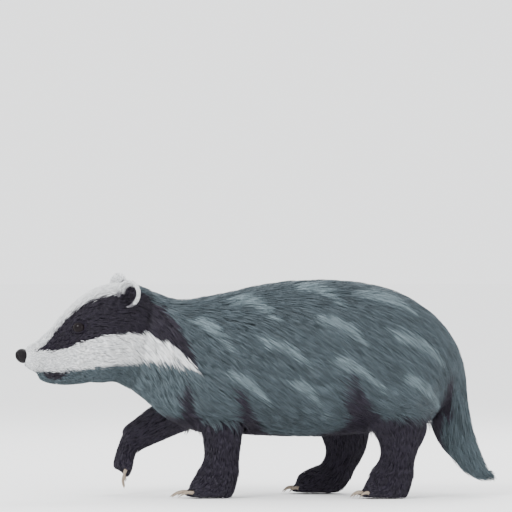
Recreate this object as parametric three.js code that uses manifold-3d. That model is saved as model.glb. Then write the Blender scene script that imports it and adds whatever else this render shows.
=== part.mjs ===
// A European badger in mid walk, life size, as a still museum model.
// Millimetres, +Z up. The nose points to -X and the animal's left side to -Y.
// The origin is on the floor below the middle of the whole animal.

import * as THREE from "three";
import { mergeVertices } from "three/addons/utils/BufferGeometryUtils.js";
import Module from "manifold-3d";

const wasm = await Module();
wasm.setup();

// Driving sizes
const totalLength = 782;
const backHeight = 354;
const trunkWidth = 256;
const noseDrawnIn = 4;
const noseX = -totalLength / 2 - noseDrawnIn;
const tailTipX = totalLength / 2;
const hipHalf = trunkWidth / 2;

// Clearances: between neighbouring forms, and between the coat of one node and the next
const gap = 0.36;
const coatGap = 0.7;

// How far a form runs on into the neighbour that cuts it
const overrun = 5;
const floorZ = 0;

// Fineness: faces round the body, and the shortest edge that a coat, the tail and the rest keep
const bodySides = 20;
const shortestEdge = { coat: 14, tail: 4, plain: 1 };

// How far the tips of the coat stand proud of each core
const coatDepth = { nape: 2, shoulder: 9, back: 11, rump: 4, tail: 0.4 };

// Finishes
const finish = (color, roughness) => new THREE.MeshStandardMaterial({ color, roughness, metalness: 0 });
const greyCoat = finish(0x6d767a, 0.85);
const faceCoat = finish(0xdfe3e4, 0.8);
const darkCoat = finish(0x2b2729, 0.85);
const tailCoat = finish(0x8d9498, 0.85);
const earCoat = finish(0xc9cdce, 0.85);
const nosePad = finish(0x17151a, 0.4);
const eyeBall = finish(0x0c0a0d, 0.1);
const hornClaw = finish(0x8a7a66, 0.5);

// Seeded random numbers, so that every run grows the same coat
let seed = 20260;
function random() {
  seed = (seed * 1664525 + 1013904223) % 4294967296;
  return seed / 4294967296;
}
const vary = (middle, share) => middle * (1 + share * (2 * random() - 1));

// Smooth values between rows of numbers
function between(rows, t) {
  const last = rows.length - 1;
  const at = Math.min(Math.max(t, 0), 1) * last;
  const i = Math.min(Math.floor(at), last - 1);
  const f = at - i;
  const [a, b, c, d] = [-1, 0, 1, 2].map((k) => rows[Math.min(Math.max(i + k, 0), last)]);
  return b.map(
    (v, k) =>
      0.5 *
      (2 * v +
        (c[k] - a[k]) * f +
        (2 * a[k] - 5 * v + 4 * c[k] - d[k]) * f * f +
        (3 * v - a[k] - 3 * c[k] + d[k]) * f * f * f),
  );
}

const clamp = (v, low, high) => Math.min(Math.max(v, low), high);
const ease = (v) => clamp(v, 0, 1) ** 2 * (3 - 2 * clamp(v, 0, 1));
const power = (v, n) => Math.sign(v) * Math.abs(v) ** n;

// A body form between two rails. Each row is the upper or front rail's x and z, the lower or rear
// rail's x and z, the half width, and where given the y of its middle.
// Angle 0 is the right side, a quarter turn is the upper rail.
function railForm(rows, { squareness = 2.3, sag = 0.08, shape = (p) => p } = {}) {
  return (u, angle) => {
    const [ax, az, bx, bz, half, midY = 0] = between(rows, u);
    const side = power(Math.cos(angle), 2 / squareness);
    const rise = power(Math.sin(angle), 2 / squareness);
    const x = (ax + bx) / 2 + ((ax - bx) / 2) * rise;
    const z = (az + bz) / 2 + ((az - bz) / 2) * rise;
    return shape(new THREE.Vector3(x, midY + half * side * (1 - sag * rise), z));
  };
}

// Point, outward normal and directions along and around a form's surface
function surface(form, u, angle) {
  const step = 0.004;
  const p = form(u, angle);
  const along = form(u + step, angle).sub(form(u - step, angle));
  const around = form(u, angle + step).sub(form(u, angle - step));
  const reach = [along.length() / (2 * step), around.length() / (2 * step)];
  const normal = new THREE.Vector3().crossVectors(around, along).normalize();
  if (normal.dot(p.clone().sub(form(u, angle + Math.PI))) < 0) normal.negate();
  return { p, along: along.normalize(), around: around.normalize(), reach, normal };
}

// The head looks a little towards its left and tilts, and the neck bends with it
const headTurn = {
  yaw: 0.19,
  roll: 0.1,
  x: -160,
  z: 250,
  from: { x: -112, z: 140 },
  reach: { x: 90, z: 44 },
};
function turnMatrix(share) {
  const { yaw, roll, x, z } = headTurn;
  return new THREE.Matrix4()
    .makeTranslation(x, 0, z)
    .multiply(new THREE.Matrix4().makeRotationFromEuler(new THREE.Euler(roll * share, 0, yaw * share)))
    .multiply(new THREE.Matrix4().makeTranslation(-x, 0, -z));
}
function turned(p) {
  const { from, reach } = headTurn;
  return p.applyMatrix4(turnMatrix(ease((from.x - p.x) / reach.x) * ease((p.z - from.z) / reach.z)));
}
const withHead = (x, y, z) => new THREE.Vector3(x, y, z).transformDirection(turnMatrix(1));

// A closed solid from a triangle list; faces are turned outwards where needed
function solidOf(points, faces) {
  const made = (list) =>
    new wasm.Manifold(
      new wasm.Mesh({
        numProp: 3,
        vertProperties: new Float32Array(points.flatMap((p) => [p.x, p.y, p.z])),
        triVerts: new Uint32Array(list.flat()),
      }),
    );
  const first = made(faces);
  return first.volume() > 0 ? first : made(faces.map(([a, b, c]) => [a, c, b]));
}

// A closed tube of rings, with each end closed by a fan to its middle, or the last one to a tip
function ringSolid(rings, tip) {
  const around = rings[0].length;
  const points = rings.flat();
  const faces = [];
  for (let r = 0; r + 1 < rings.length; r++) {
    for (let k = 0; k < around; k++) {
      const next = (k + 1) % around;
      const [a, b] = [r * around + k, r * around + next];
      const [c, d] = [a + around, b + around];
      faces.push([a, b, d], [a, d, c]);
    }
  }
  const middleOfRing = (ring) => ring.reduce((sum, p) => sum.clone().add(p)).multiplyScalar(1 / around);
  const ends = [
    { ring: 0, turn: true, point: middleOfRing(rings[0]) },
    { ring: rings.length - 1, turn: false, point: tip ?? middleOfRing(rings[rings.length - 1]) },
  ];
  for (const { ring, turn, point } of ends) {
    const middle = points.length;
    points.push(point);
    for (let k = 0; k < around; k++) {
      const [a, b] = [ring * around + k, ring * around + ((k + 1) % around)];
      faces.push(turn ? [a, middle, b] : [a, b, middle]);
    }
  }
  return solidOf(points, faces);
}

// A form as a solid, grown outwards by a clearance or drawn in to a core, which may vary along it.
// An overrun pushes an end on into the neighbour that then cuts it.
function formSolid(form, along, around, { grow = 0, startOverrun = 0, endOverrun = 0 } = {}) {
  const rings = [];
  for (let i = 0; i <= along; i++) {
    const ring = [];
    const u = i / along;
    const push = typeof grow === "function" ? grow(u) : grow;
    for (let k = 0; k < around; k++) {
      const at = surface(form, u, (k / around) * 2 * Math.PI);
      ring.push(at.p.addScaledVector(at.normal, push));
    }
    if (i === 0 || i === along) {
      const outwards = middleOf(form, u).sub(middleOf(form, clamp(u, 0.02, 0.98))).normalize();
      const overrun = Math.max(push, i ? endOverrun : startOverrun, 0);
      ring.forEach((p) => p.addScaledVector(outwards, overrun));
    }
    rings.push(ring);
  }
  return ringSolid(rings);
}

const middleOf = (form, u) => form(u, Math.PI / 2).add(form(u, -Math.PI / 2)).multiplyScalar(0.5);

// A closed three.js geometry, placed, as a solid
function geometrySolid(geometry, matrix = new THREE.Matrix4()) {
  const bare = geometry.clone();
  bare.deleteAttribute("normal");
  bare.deleteAttribute("uv");
  const merged = mergeVertices(bare.applyMatrix4(matrix), 1e-4);
  const at = merged.attributes.position;
  const points = Array.from({ length: at.count }, (_, i) => new THREE.Vector3().fromBufferAttribute(at, i));
  const index = Array.from(merged.index.array);
  const faces = [];
  for (let i = 0; i < index.length; i += 3) {
    const [a, b, c] = index.slice(i, i + 3);
    if (a !== b && b !== c && c !== a) faces.push([a, b, c]);
  }
  return solidOf(points, faces);
}

// A turned frame: local x along forward, z along up as nearly as it can be
function frameAt(origin, forward, up) {
  const x = forward.clone().normalize();
  const y = new THREE.Vector3().crossVectors(up, x).normalize();
  const z = new THREE.Vector3().crossVectors(x, y);
  return new THREE.Matrix4().makeBasis(x, y, z).setPosition(origin);
}

function ball(matrix, rx, ry, rz, around = 12, high = 8) {
  const sphere = new THREE.SphereGeometry(1, around, high);
  return geometrySolid(sphere, matrix.clone().multiply(new THREE.Matrix4().makeScale(rx, ry, rz)));
}

const join = (solids) => wasm.Manifold.union(solids);

// The largest closed surface of a node
function largest(solid) {
  return solid.decompose().sort((a, b) => b.volume() - a.volume())[0];
}

function pointsAndFaces(solid) {
  const { vertProperties, triVerts, numProp } = solid.getMesh();
  const points = [];
  for (let i = 0; i < vertProperties.length; i += numProp) {
    points.push(new THREE.Vector3().fromArray(vertProperties, i));
  }
  const faces = [];
  for (let i = 0; i < triVerts.length; i += 3) faces.push(Array.from(triVerts.subarray(i, i + 3)));
  return { points, faces };
}

const normalOf = ([a, b, c]) =>
  new THREE.Vector3().crossVectors(b.clone().sub(a), c.clone().sub(a));

// Edges shorter than a limit are drawn to one end, where the surface stays closed, no face turns over
// and the surface moves by less than a hair
const hair = 0.1;
function withoutShortEdges(points, faces, shortest) {
  const live = faces.map((f) => [...f]);
  const facesAt = points.map(() => new Set());
  live.forEach((f, i) => f.forEach((v) => facesAt[v].add(i)));
  const neighbours = (v) => new Set([...facesAt[v]].flatMap((i) => live[i]).filter((w) => w !== v));
  const turnsOver = (i, from, to) => {
    const before = normalOf(live[i].map((v) => points[v]));
    const after = normalOf(live[i].map((v) => points[v === from ? to : v]));
    const moves = Math.abs(before.dot(points[to].clone().sub(points[from]))) / before.length();
    const bends = before.dot(after) < 0.5 * before.length() * after.length();
    return before.length() > 1e-3 && (moves > hair || bends);
  };
  const canDraw = (from, to) => {
    if (points[from].distanceTo(points[to]) >= shortest) return false;
    const near = neighbours(to);
    if ([...neighbours(from)].filter((v) => near.has(v)).length !== 2) return false;
    return ![...facesAt[from]].some((i) => !live[i].includes(to) && turnsOver(i, from, to));
  };
  const draw = (from, to) => {
    for (const i of facesAt[from]) {
      if (live[i].includes(to)) {
        live[i].filter((v) => v !== from).forEach((v) => facesAt[v].delete(i));
        live[i] = null;
      } else {
        live[i] = live[i].map((v) => (v === from ? to : v));
        facesAt[to].add(i);
      }
    }
    facesAt[from].clear();
  };
  for (let round = 0; round < 3; round++) {
    for (let i = 0; i < live.length; i++) {
      for (const [j, k] of [[0, 1], [1, 2], [2, 0], [1, 0], [2, 1], [0, 2]]) {
        if (live[i] && canDraw(live[i][j], live[i][k])) draw(live[i][j], live[i][k]);
      }
    }
  }
  return live.filter(Boolean);
}

// Corners of a closed surface that only share a place are each drawn in by a hair, so that they part
function parted(points, faces) {
  const inward = points.map(() => new THREE.Vector3());
  for (const f of faces) {
    const normal = normalOf(f.map((v) => points[v])).normalize();
    f.forEach((v) => inward[v].sub(normal));
  }
  const apart = 0.02;
  const places = new Map();
  for (const v of new Set(faces.flat())) {
    const key = points[v].toArray().map((c) => Math.round(c / apart)).join();
    places.set(key, [...(places.get(key) ?? []), v]);
  }
  const moved = points.map((p) => p.clone());
  for (const alike of places.values()) {
    if (alike.length > 1) alike.forEach((v) => moved[v].addScaledVector(inward[v].normalize(), apart));
  }
  return moved;
}

function meshOf(name, solid, material, shortest = shortestEdge.plain) {
  const cut = pointsAndFaces(largest(solid));
  const faces = withoutShortEdges(cut.points, cut.faces, shortest);
  const points = parted(cut.points, faces);
  const used = [...new Set(faces.flat())];
  const place = new Map(used.map((v, n) => [v, n]));
  const geometry = new THREE.BufferGeometry().setFromPoints(used.map((v) => points[v]));
  geometry.setIndex(faces.flat().map((v) => place.get(v)));
  geometry.computeVertexNormals();
  const mesh = new THREE.Mesh(geometry, material);
  mesh.name = name;
  return mesh;
}

// Planes where the head meets the neck, the neck the trunk, and the trunk the tail
const headPlane = { topX: -184, topZ: 342, bottomX: -222, bottomZ: 183, half: 67 };
const neckPlane = { topX: -112, topZ: 323, bottomX: -150, bottomZ: 127, half: 76 };
const tailPlane = { topX: 341, topZ: 198, bottomX: 303, bottomZ: 146, half: 27 };

// Neck and trunk in one form, out to the tips of the coat, from behind the ears to the tail
const bodyRows = [
  [headPlane.topX, headPlane.topZ, headPlane.bottomX, headPlane.bottomZ, headPlane.half],
  [-160, 333, -198, 167, 69],
  [-137, 326, -174, 147, 72],
  [neckPlane.topX, neckPlane.topZ, neckPlane.bottomX, neckPlane.bottomZ, neckPlane.half],
  [-62, 330, -92, 104, 96],
  [0, 344, -20, 99, 107],
  [70, backHeight - 1, 60, 96, 118],
  [140, backHeight - 1, 135, 98, hipHalf - 2],
  [205, 342, 205, 106, hipHalf],
  [256, 321, 252, 112, 121],
  [298, 289, 276, 118, 103],
  [321, 256, 286, 127, 80],
  [334, 224, 294, 136, 51],
  [tailPlane.topX, tailPlane.topZ, tailPlane.bottomX, tailPlane.bottomZ, tailPlane.half],
];
const neckEnd = 3 / (bodyRows.length - 1);

// Shoulder and thigh muscle that swells each lower flank: x, z, reach along x and z, and how far out
const swellings = {
  left: [
    { x: -62, z: 152, wide: 60, high: 48, out: 17 },
    { x: 236, z: 160, wide: 70, high: 48, out: 13 },
  ],
  right: [
    { x: -70, z: 156, wide: 60, high: 48, out: 15 },
    { x: 188, z: 158, wide: 75, high: 48, out: 14 },
  ],
};
function swell(p) {
  const side = p.y < 0 ? swellings.left : swellings.right;
  const share = ease(Math.abs(p.y) / 40);
  for (const m of side) {
    const push = m.out * Math.exp(-(((p.x - m.x) / m.wide) ** 2) - ((p.z - m.z) / m.high) ** 2);
    p.y += Math.sign(p.y) * push * share;
  }
  return p;
}
const bodyForm = railForm(bodyRows, { squareness: 2.35, sag: 0.09, shape: (p) => turned(swell(p)) });
const stretch = (from, to) => (u, angle) => bodyForm(from + (to - from) * u, angle);
const neckForm = stretch(0, neckEnd);
const trunkForm = stretch(neckEnd, 1);

// Tail: hangs and flicks back at the tip
const tailRows = [
  [tailPlane.topX, tailPlane.topZ, tailPlane.bottomX, tailPlane.bottomZ, 26.5],
  [346, 166, 300, 128, 27],
  [350, 136, 299, 108, 28],
  [356, 108, 305, 84, 28],
  [363, 82, 318, 60, 25],
  [370, 59, 336, 44, 18],
  [376, 47, 355, 35, 10],
  [tailTipX - 11, 41, tailTipX - 14, 37, 2.5],
];
const tailForm = railForm(tailRows, { squareness: 2, sag: 0 });
const tailLength = 172;

// Head: nose to the plane behind the ears
const headRows = [
  [noseX + 13, 245, noseX + 15, 216, 13.5],
  [noseX + 22, 251, noseX + 26, 209, 19.5],
  [noseX + 36, 258, noseX + 42, 205, 24],
  [noseX + 55, 275, noseX + 62, 202, 29],
  [noseX + 76, 299, noseX + 84, 198, 38],
  [noseX + 98, 320, noseX + 105, 191, 51],
  [noseX + 122, 337, noseX + 124, 187, 62],
  [noseX + 148, 347, noseX + 141, 186, 67],
  [noseX + 186, 350, noseX + 158, 188, 67],
  [headPlane.topX, headPlane.topZ, headPlane.bottomX, headPlane.bottomZ, headPlane.half],
];
const eye = { u: 0.535, angle: 0.41, radius: 11, sunk: 0.6, lid: 2.2 };
const headForm = railForm(headRows, { squareness: 2.35, sag: 0.09, shape: turned });

// Legs: rows from inside the trunk down to the ankle, front rail first
const legs = {
  foreleg_left: [
    [-98, 168, -10, 166, 25, -54],
    [-95, 130, -14, 128, 27, -60],
    [-88, 99, -21, 99, 27, -65],
    [-85, 70, -25, 70, 25, -69],
    [-90, 50, -27, 48, 24, -71],
  ],
  foreleg_right: [
    [-112, 176, -66, 120, 26, 52],
    [-150, 160, -112, 104, 27, 57],
    [-183, 138, -146, 90, 25, 61],
    [-214, 113, -188, 72, 23, 63],
  ],
  hindleg_left: [
    [180, 168, 272, 160, 28, -70],
    [180, 132, 278, 124, 31, -76],
    [190, 106, 276, 104, 30, -79],
    [200, 80, 264, 80, 27, -81],
    [197, 62, 258, 62, 25, -81],
    [188, 50, 255, 46, 25, -81],
  ],
  hindleg_right: [
    [96, 160, 200, 172, 28, 70],
    [98, 118, 192, 132, 31, 76],
    [108, 90, 188, 100, 29, 79],
    [114, 70, 180, 66, 26, 81],
    [106, 47, 160, 33, 25, 81],
  ],
};

// Paws: the ankle ring joins its leg; the sole runs from the heel forwards, in a local frame with
// x towards the toes and z up. A hanging paw has its own frame and no flat sole.
const hang = frameAt(
  new THREE.Vector3(-190, 63, 94),
  new THREE.Vector3(-0.24, 0, -0.97),
  new THREE.Vector3(-0.97, 0, 0.24),
);
function standing(heelX, midY, turnOut) {
  const forward = new THREE.Vector3(-Math.cos(turnOut), Math.sin(turnOut), 0);
  return frameAt(new THREE.Vector3(heelX, midY, floorZ), forward, new THREE.Vector3(0, 0, 1));
}
const paws = {
  forepaw_left: { frame: standing(-36, -71, -0.05), leg: "foreleg_left", long: 78, half: 28, clawLong: 21 },
  forepaw_right: { frame: hang, leg: "foreleg_right", long: 68, half: 27, clawLong: 16, hanging: true },
  hindpaw_left: { frame: standing(246, -81, -0.07), leg: "hindleg_left", long: 78, half: 26, clawLong: 12 },
  hindpaw_right: { frame: standing(139, 81, 0.07), leg: "hindleg_right", long: 80, half: 26, clawLong: 12 },
};
const toeSpread = [-2, -1, 0, 1, 2];
const toeSize = { long: 14, half: 6.6, high: 8.2 };

// Middle of a toe tip in the paw's frame
function toeAt(paw, k) {
  return new THREE.Vector3(paw.long - 3.2 * k * k - 0.7 * toeSize.long, k * paw.half * 0.4, toeSize.high - 1);
}

function pawSolid(paw, grow = 0) {
  const intoPaw = paw.frame.clone().invert();
  const ankleRow = legs[paw.leg][legs[paw.leg].length - 1];
  const local = (x, z) => new THREE.Vector3(x, ankleRow[5], z).applyMatrix4(intoPaw);
  const upper = local(ankleRow[0], ankleRow[1]);
  const rear = local(ankleRow[2], ankleRow[3]);
  const { long, half, hanging } = paw;
  const sole = hanging ? 1 : -3;
  const heel = hanging ? 4 : 0;
  const instep = { x: 0.45 * (upper.x + long), z: 0.5 * upper.z + 19 };
  const rows = [
    [upper.x, upper.z, rear.x, rear.z, ankleRow[4], 0],
    [instep.x, instep.z, 0.55 * rear.x - 1 + heel, 0.5 * rear.z, half * 0.94, 0],
    [long * 0.84, 33, heel + long * 0.08, sole, half * 0.98, 0],
    [long * 0.91, 24, long * 0.4, sole - 1, half, 0],
    [long * 0.93, 15, long * 0.66, sole, half * 0.9, 0],
  ];
  const form = railForm(rows, { squareness: 2.3, sag: 0.08 });
  const pieces = [
    formSolid((u, a) => form(u, a).applyMatrix4(paw.frame), 5, 12, { grow }),
    ...toeSpread.map((k) => {
      const at = paw.frame.clone().multiply(new THREE.Matrix4().setPosition(toeAt(paw, k)));
      const turned = at.multiply(new THREE.Matrix4().makeRotationZ(k * 0.1));
      return ball(turned, toeSize.long + grow, toeSize.half + grow, toeSize.high + grow, 7, 4);
    }),
  ];
  const whole = join(pieces);
  return hanging ? whole : whole.subtract(floorBlock);
}

// All below the floor, to cut the soles flat
const floorBlock = geometrySolid(
  new THREE.BoxGeometry(1000, 400, 100),
  new THREE.Matrix4().makeTranslation(0, 0, floorZ - 50),
);

// A claw: a tapered horn that leaves the toe and bends down
function clawSolid(paw, k) {
  const root = toeAt(paw, k).add(new THREE.Vector3(toeSize.long - 5, 0, 1.5));
  const bend = paw.hanging ? 0.5 : 0.95;
  const rings = [];
  const steps = 3;
  const sides = 5;
  for (let i = 0; i <= steps; i++) {
    const s = i / steps;
    const reach = paw.clawLong + 6;
    const middle = root.clone().add(new THREE.Vector3(reach * s, k * 1.4 * s, 0));
    middle.z += 2.5 * Math.sin(Math.PI * s) - bend * (toeSize.high - 0.8) * s * s;
    const deep = 3.4 * (1 - 0.82 * s);
    const thin = 2.3 * (1 - 0.8 * s);
    const ring = [];
    for (let n = 0; n < sides; n++) {
      const a = (n / sides) * 2 * Math.PI;
      const spoke = new THREE.Vector3(0, thin * Math.cos(a), deep * Math.sin(a));
      ring.push(spoke.add(middle).applyMatrix4(paw.frame));
    }
    rings.push(ring);
  }
  return ringSolid(rings);
}

// Ears: a cup cut from an egg, set on the side of the crown
const ear = { u: 0.872, angle: 0.76, half: 20.5, deep: 12, high: 23, lift: 10 };
function onBothSides(angle) {
  return { left: Math.PI - angle, right: angle };
}
function earSolid(side, grow = 0) {
  const seat = surface(headForm, ear.u, onBothSides(ear.angle)[side]);
  const outward = side === "left" ? -1 : 1;
  const up = withHead(0.16, 0.55 * outward, 0.82);
  const facing = withHead(-0.7, 0.71 * outward, 0);
  const middle = seat.p.clone().addScaledVector(up, ear.lift);
  const frame = frameAt(middle, facing, up);
  const outer = ball(frame, ear.deep + grow, ear.half + grow, ear.high + grow, 14, 9);
  if (grow) return outer;
  const hollowAt = frame.clone().multiply(new THREE.Matrix4().makeTranslation(7.5, 0, 3.5));
  return outer.subtract(ball(hollowAt, ear.deep, ear.half - 3.5, ear.high - 4.5, 12, 8));
}

// Eyes and lids
function eyeFrame(side) {
  const outward = side === "left" ? -1 : 1;
  const seat = surface(headForm, eye.u, onBothSides(eye.angle)[side]);
  const facing = withHead(-0.42, outward * 0.88, 0.2);
  const middle = seat.p.clone().addScaledVector(seat.normal, -eye.radius * eye.sunk);
  return frameAt(middle, facing, withHead(0, 0, 1));
}
function lidSolid(side) {
  const ring = new THREE.TorusGeometry(eye.radius * 0.86, eye.lid, 5, 14);
  const place = eyeFrame(side)
    .multiply(new THREE.Matrix4().makeTranslation(eye.radius * 0.58, 0, 0))
    .multiply(new THREE.Matrix4().makeRotationX(0.25))
    .multiply(new THREE.Matrix4().makeScale(1, 1.1, 0.9))
    .multiply(new THREE.Matrix4().makeRotationY(Math.PI / 2));
  return geometrySolid(ring, place);
}

// Lower jaw, cut to the head above it so that the line of the mouth is a fine gap
const jawRows = [
  [noseX + 33, 203, noseX + 35, 197, 6],
  [noseX + 40, 209, noseX + 44, 191, 14],
  [noseX + 56, 212, noseX + 60, 186, 19],
  [noseX + 76, 212, noseX + 82, 184, 24],
  [noseX + 100, 210, noseX + 104, 185.5, 31],
  [noseX + 122, 208, noseX + 126, 189.5, 37],
];
const jawForm = railForm(jawRows, { squareness: 2.2, sag: 0, shape: turned });

// Nose pad with nostrils
function noseSolid() {
  const middle = turned(new THREE.Vector3(noseX + 11.5, 0, 234));
  const frame = frameAt(middle, withHead(-1, 0, 0.08), withHead(0, 0, 1));
  const local = (x, y, z) => frame.clone().multiply(new THREE.Matrix4().makeTranslation(x, y, z));
  const pad = join([ball(local(0, 0, 1), 11.5, 14, 11, 14, 10), ball(local(-2, 0, -6), 9, 9, 9, 10, 7)]);
  const nostrils = [-1, 1].map((side) => {
    const turned = local(8.6, side * 6.6, -1).multiply(new THREE.Matrix4().makeRotationZ(-side * 0.6));
    return ball(turned, 6, 2.6, 3.4, 8, 6);
  });
  const groove = geometrySolid(new THREE.BoxGeometry(5, 1.1, 14), local(10.2, 0, -8));
  return pad.subtract(join([...nostrils, groove]));
}

// Coat. How deep it is over the core, from the nape to the tail
const bodyDepth = (u) => {
  const { nape, shoulder, back, rump } = coatDepth;
  const forward = nape + (shoulder - nape) * ease(u / neckEnd);
  return forward + (back - shoulder) * ease((u - neckEnd) * 3) + (rump - back) * ease((u - 0.75) * 4);
};
const tailDepth = (u) => coatDepth.tail * between(tailRows, u)[4];

// A place over a form's surface; past the end of the form it runs straight on
function placeOn(form, u, angle, height) {
  const held = clamp(u, 0.004, 0.996);
  const at = surface(form, held, angle);
  at.p.addScaledVector(at.along, (u - held) * at.reach[0]).addScaledVector(at.normal, height);
  return at;
}

// How far the lie of the coat turns down from straight back: most on the flanks, none along the spine
const fallOnBody = (angle) => 0.64 * (1 - Math.abs(Math.sin(angle)) ** 3);
const fallOnTail = () => 0;

// How wide a lock may be there, as a share of the widest
const wideOnBody = () => 1;
const wideOnTail = (u) => clamp(between(tailRows, u)[4] / 28, 0.3, 1);

// A flat, tapered lock with three sides, rooted in the core and bent along the lie of the coat.
// Stations run from root to tip: share of the length, of the width and thickness, and of the depth
// below the tips.
const lockStations = [
  { s: 0, wide: 0.55, thick: 1, below: 1 },
  { s: 0.26, wide: 1, thick: 1, below: 0.62 },
  { s: 0.54, wide: 0.92, thick: 1, below: 0.3 },
  { s: 0.8, wide: 0.55, thick: 0.8, below: 0.1 },
];
const rootSunk = 3;
const edgeWidening = 10;
function lockSolid(form, lock, grow = 0) {
  const side = Math.cos(lock.angle) < 0 ? -1 : 1;
  let { u, angle } = lock;
  let s = 0;
  const leanNow = () => lock.fall(angle) + lock.yaw + lock.curl * s;
  const advance = (to) => {
    const steps = 3;
    const go = (to - s) / steps;
    for (let n = 0; n < steps; n++) {
      const lean = leanNow();
      const { reach } = placeOn(form, u, angle, 0);
      u += (go * lock.long * Math.cos(lean)) / reach[0];
      angle -= (side * go * lock.long * Math.sin(lean)) / reach[1];
      s += go;
    }
  };
  const rings = lockStations.map((at) => {
    if (at.s > 0) advance(at.s);
    const lean = leanNow();
    const high = -at.below * lock.depth - (at.s === 0 ? rootSunk : 0);
    const { p: ridge, along, around, normal } = placeOn(form, u, angle, high);
    const heading = along.multiplyScalar(Math.cos(lean)).addScaledVector(around, -side * Math.sin(lean));
    const across = new THREE.Vector3().crossVectors(normal, heading).normalize();
    const half = (at.wide * lock.wide * lock.share(u)) / 2;
    const drop = at.thick * lock.thick + half ** 2 / (2 * lock.roundness) + grow;
    const edge = (reach) => ridge.clone().addScaledVector(across, reach).addScaledVector(normal, -drop);
    const widened = half + edgeWidening * grow;
    return [edge(widened), ridge.clone().addScaledVector(normal, grow), edge(-widened)];
  });
  if (grow > 0) {
    const back = rings[0][1].clone().sub(rings[1][1]).setLength(3 * grow);
    rings.unshift(rings[0].map((p) => p.clone().add(back)));
  }
  const before = placeOn(form, u, angle, 0).p;
  advance(1);
  const tip = placeOn(form, u, angle, -0.4 * lock.thick).p;
  const onward = tip.clone().sub(before).normalize();
  return ringSolid(rings, tip.addScaledVector(onward, edgeWidening * grow));
}

// Places in rows across a form, the same on both sides and evenly spaced from the back to the belly.
// Each second row is set half a space over.
function rowsOfRoots(form, { from, to, rowStep, spacing: widest, share }) {
  const roots = [];
  let row = 0;
  for (let u = from; u < to; u += rowStep / surface(form, u, 0).reach[0]) {
    const spacing = widest * share(u);
    const start = row % 2 ? spacing / 2 : 0;
    if (start === 0) roots.push({ u, angle: Math.PI / 2 });
    let walked = 0;
    let next = start || spacing;
    const step = 0.02;
    for (let down = Math.PI / 2; down > -Math.PI / 2 + 0.12; down -= step) {
      walked += surface(form, u, down).reach[1] * step;
      if (walked < next) continue;
      roots.push({ u, angle: down }, { u, angle: Math.PI - down });
      next += spacing;
    }
    row += 1;
  }
  return roots;
}

// A lock that would twist on itself where the form turns sharply is straightened, shortened or left out
function untwisted(form, lock) {
  const calm = { ...lock, yaw: 0, curl: 0 };
  const tries = [lock, calm, { ...calm, long: 0.75 * lock.long }, { ...calm, long: 0.55 * lock.long }];
  return tries.find((t) => lockSolid(form, t).subtract(lockSolid(form, t, coatGap)).volume() < 0.3);
}

// The coat of one node as a list of locks
function locksOf(coat) {
  const underShare = (angle) => 1 - coat.shorterBelow * ease(-Math.sin(angle) * 1.2);
  return rowsOfRoots(coat.form, coat)
    .filter((root) => !coat.bare?.(root))
    .map((root) => ({
      u: root.u + (0.15 * (random() - 0.5) * coat.rowStep) / surface(coat.form, root.u, 0).reach[0],
      angle: root.angle,
      long: Math.min(vary(coat.long, 0.14) * underShare(root.angle), coat.farthest(root.u)),
      wide: vary(coat.wide, 0.12),
      thick: coat.thick,
      depth: coat.depth(root.u),
      fall: coat.fall,
      share: coat.share,
      roundness: coat.roundness,
      yaw: 0.3 * (random() - 0.5),
      curl: 0.3 * (random() - 0.3),
    }))
    .map((lock) => untwisted(coat.form, lock))
    .filter(Boolean);
}

// Where each coat grows and how its locks are sized. shorterBelow is the share that belly locks lose,
// roundness the radius that the underside of a lock keeps to, and farthest the longest a lock may be.
const anyLength = () => Infinity;
const onBody = {
  form: bodyForm,
  depth: bodyDepth,
  fall: fallOnBody,
  share: wideOnBody,
  farthest: anyLength,
};
const onTail = { form: tailForm, depth: tailDepth, fall: fallOnTail, share: wideOnTail };
const coats = {
  neck: {
    ...onBody, from: 0.02, to: neckEnd - 0.02, rowStep: 31, spacing: 42,
    long: 56, wide: 42, thick: 3, shorterBelow: 0.15, roundness: 75,
  },
  torso: {
    ...onBody, from: neckEnd + 0.04, to: 0.95, rowStep: 58, spacing: 54,
    long: 98, wide: 52, thick: 3.8, shorterBelow: 0.4, roundness: 115,
    bare: ({ u, angle }) => u > 0.8 && Math.sin(angle) < 0.15,
  },
  tail: {
    ...onTail, from: 0.08, to: 0.78, rowStep: 34, spacing: 32,
    long: 62, wide: 29, thick: 3, shorterBelow: 0, roundness: 28,
    farthest: (u) => (1 - u) * tailLength + 2,
  },
};

// Nodes, each cut clear of those that lie over it
const bodyPart = (from, to, along, grow) =>
  formSolid(stretch(from, to), along, bodySides, {
    grow: (u) => grow - bodyDepth(from + (to - from) * u),
    startOverrun: overrun + grow,
    endOverrun: 2 * grow,
  });
const neckCore = (grow) => bodyPart(0, neckEnd, 5, grow);
const trunkCore = (grow) => bodyPart(neckEnd, 1, 14, grow);
const locksJoined = (coat, grow) => join(coat.locks.map((lock) => lockSolid(coat.form, lock, grow)));
const grownCoat = (core, coat) =>
  join([coatGap, 0].flatMap((grow) => [core(grow), locksJoined(coat, grow)]));
for (const coat of Object.values(coats)) coat.locks = locksOf(coat);

const headGrown = formSolid(headForm, 20, 24, { grow: gap });
const neckGrown = grownCoat(neckCore, coats.neck);
const trunkGrown = grownCoat(trunkCore, coats.torso);
const coresGrown = join([trunkCore(coatGap), neckCore(coatGap)]);
const sides = ["left", "right"];

const badger = new THREE.Group();
badger.name = "european_badger";

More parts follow.
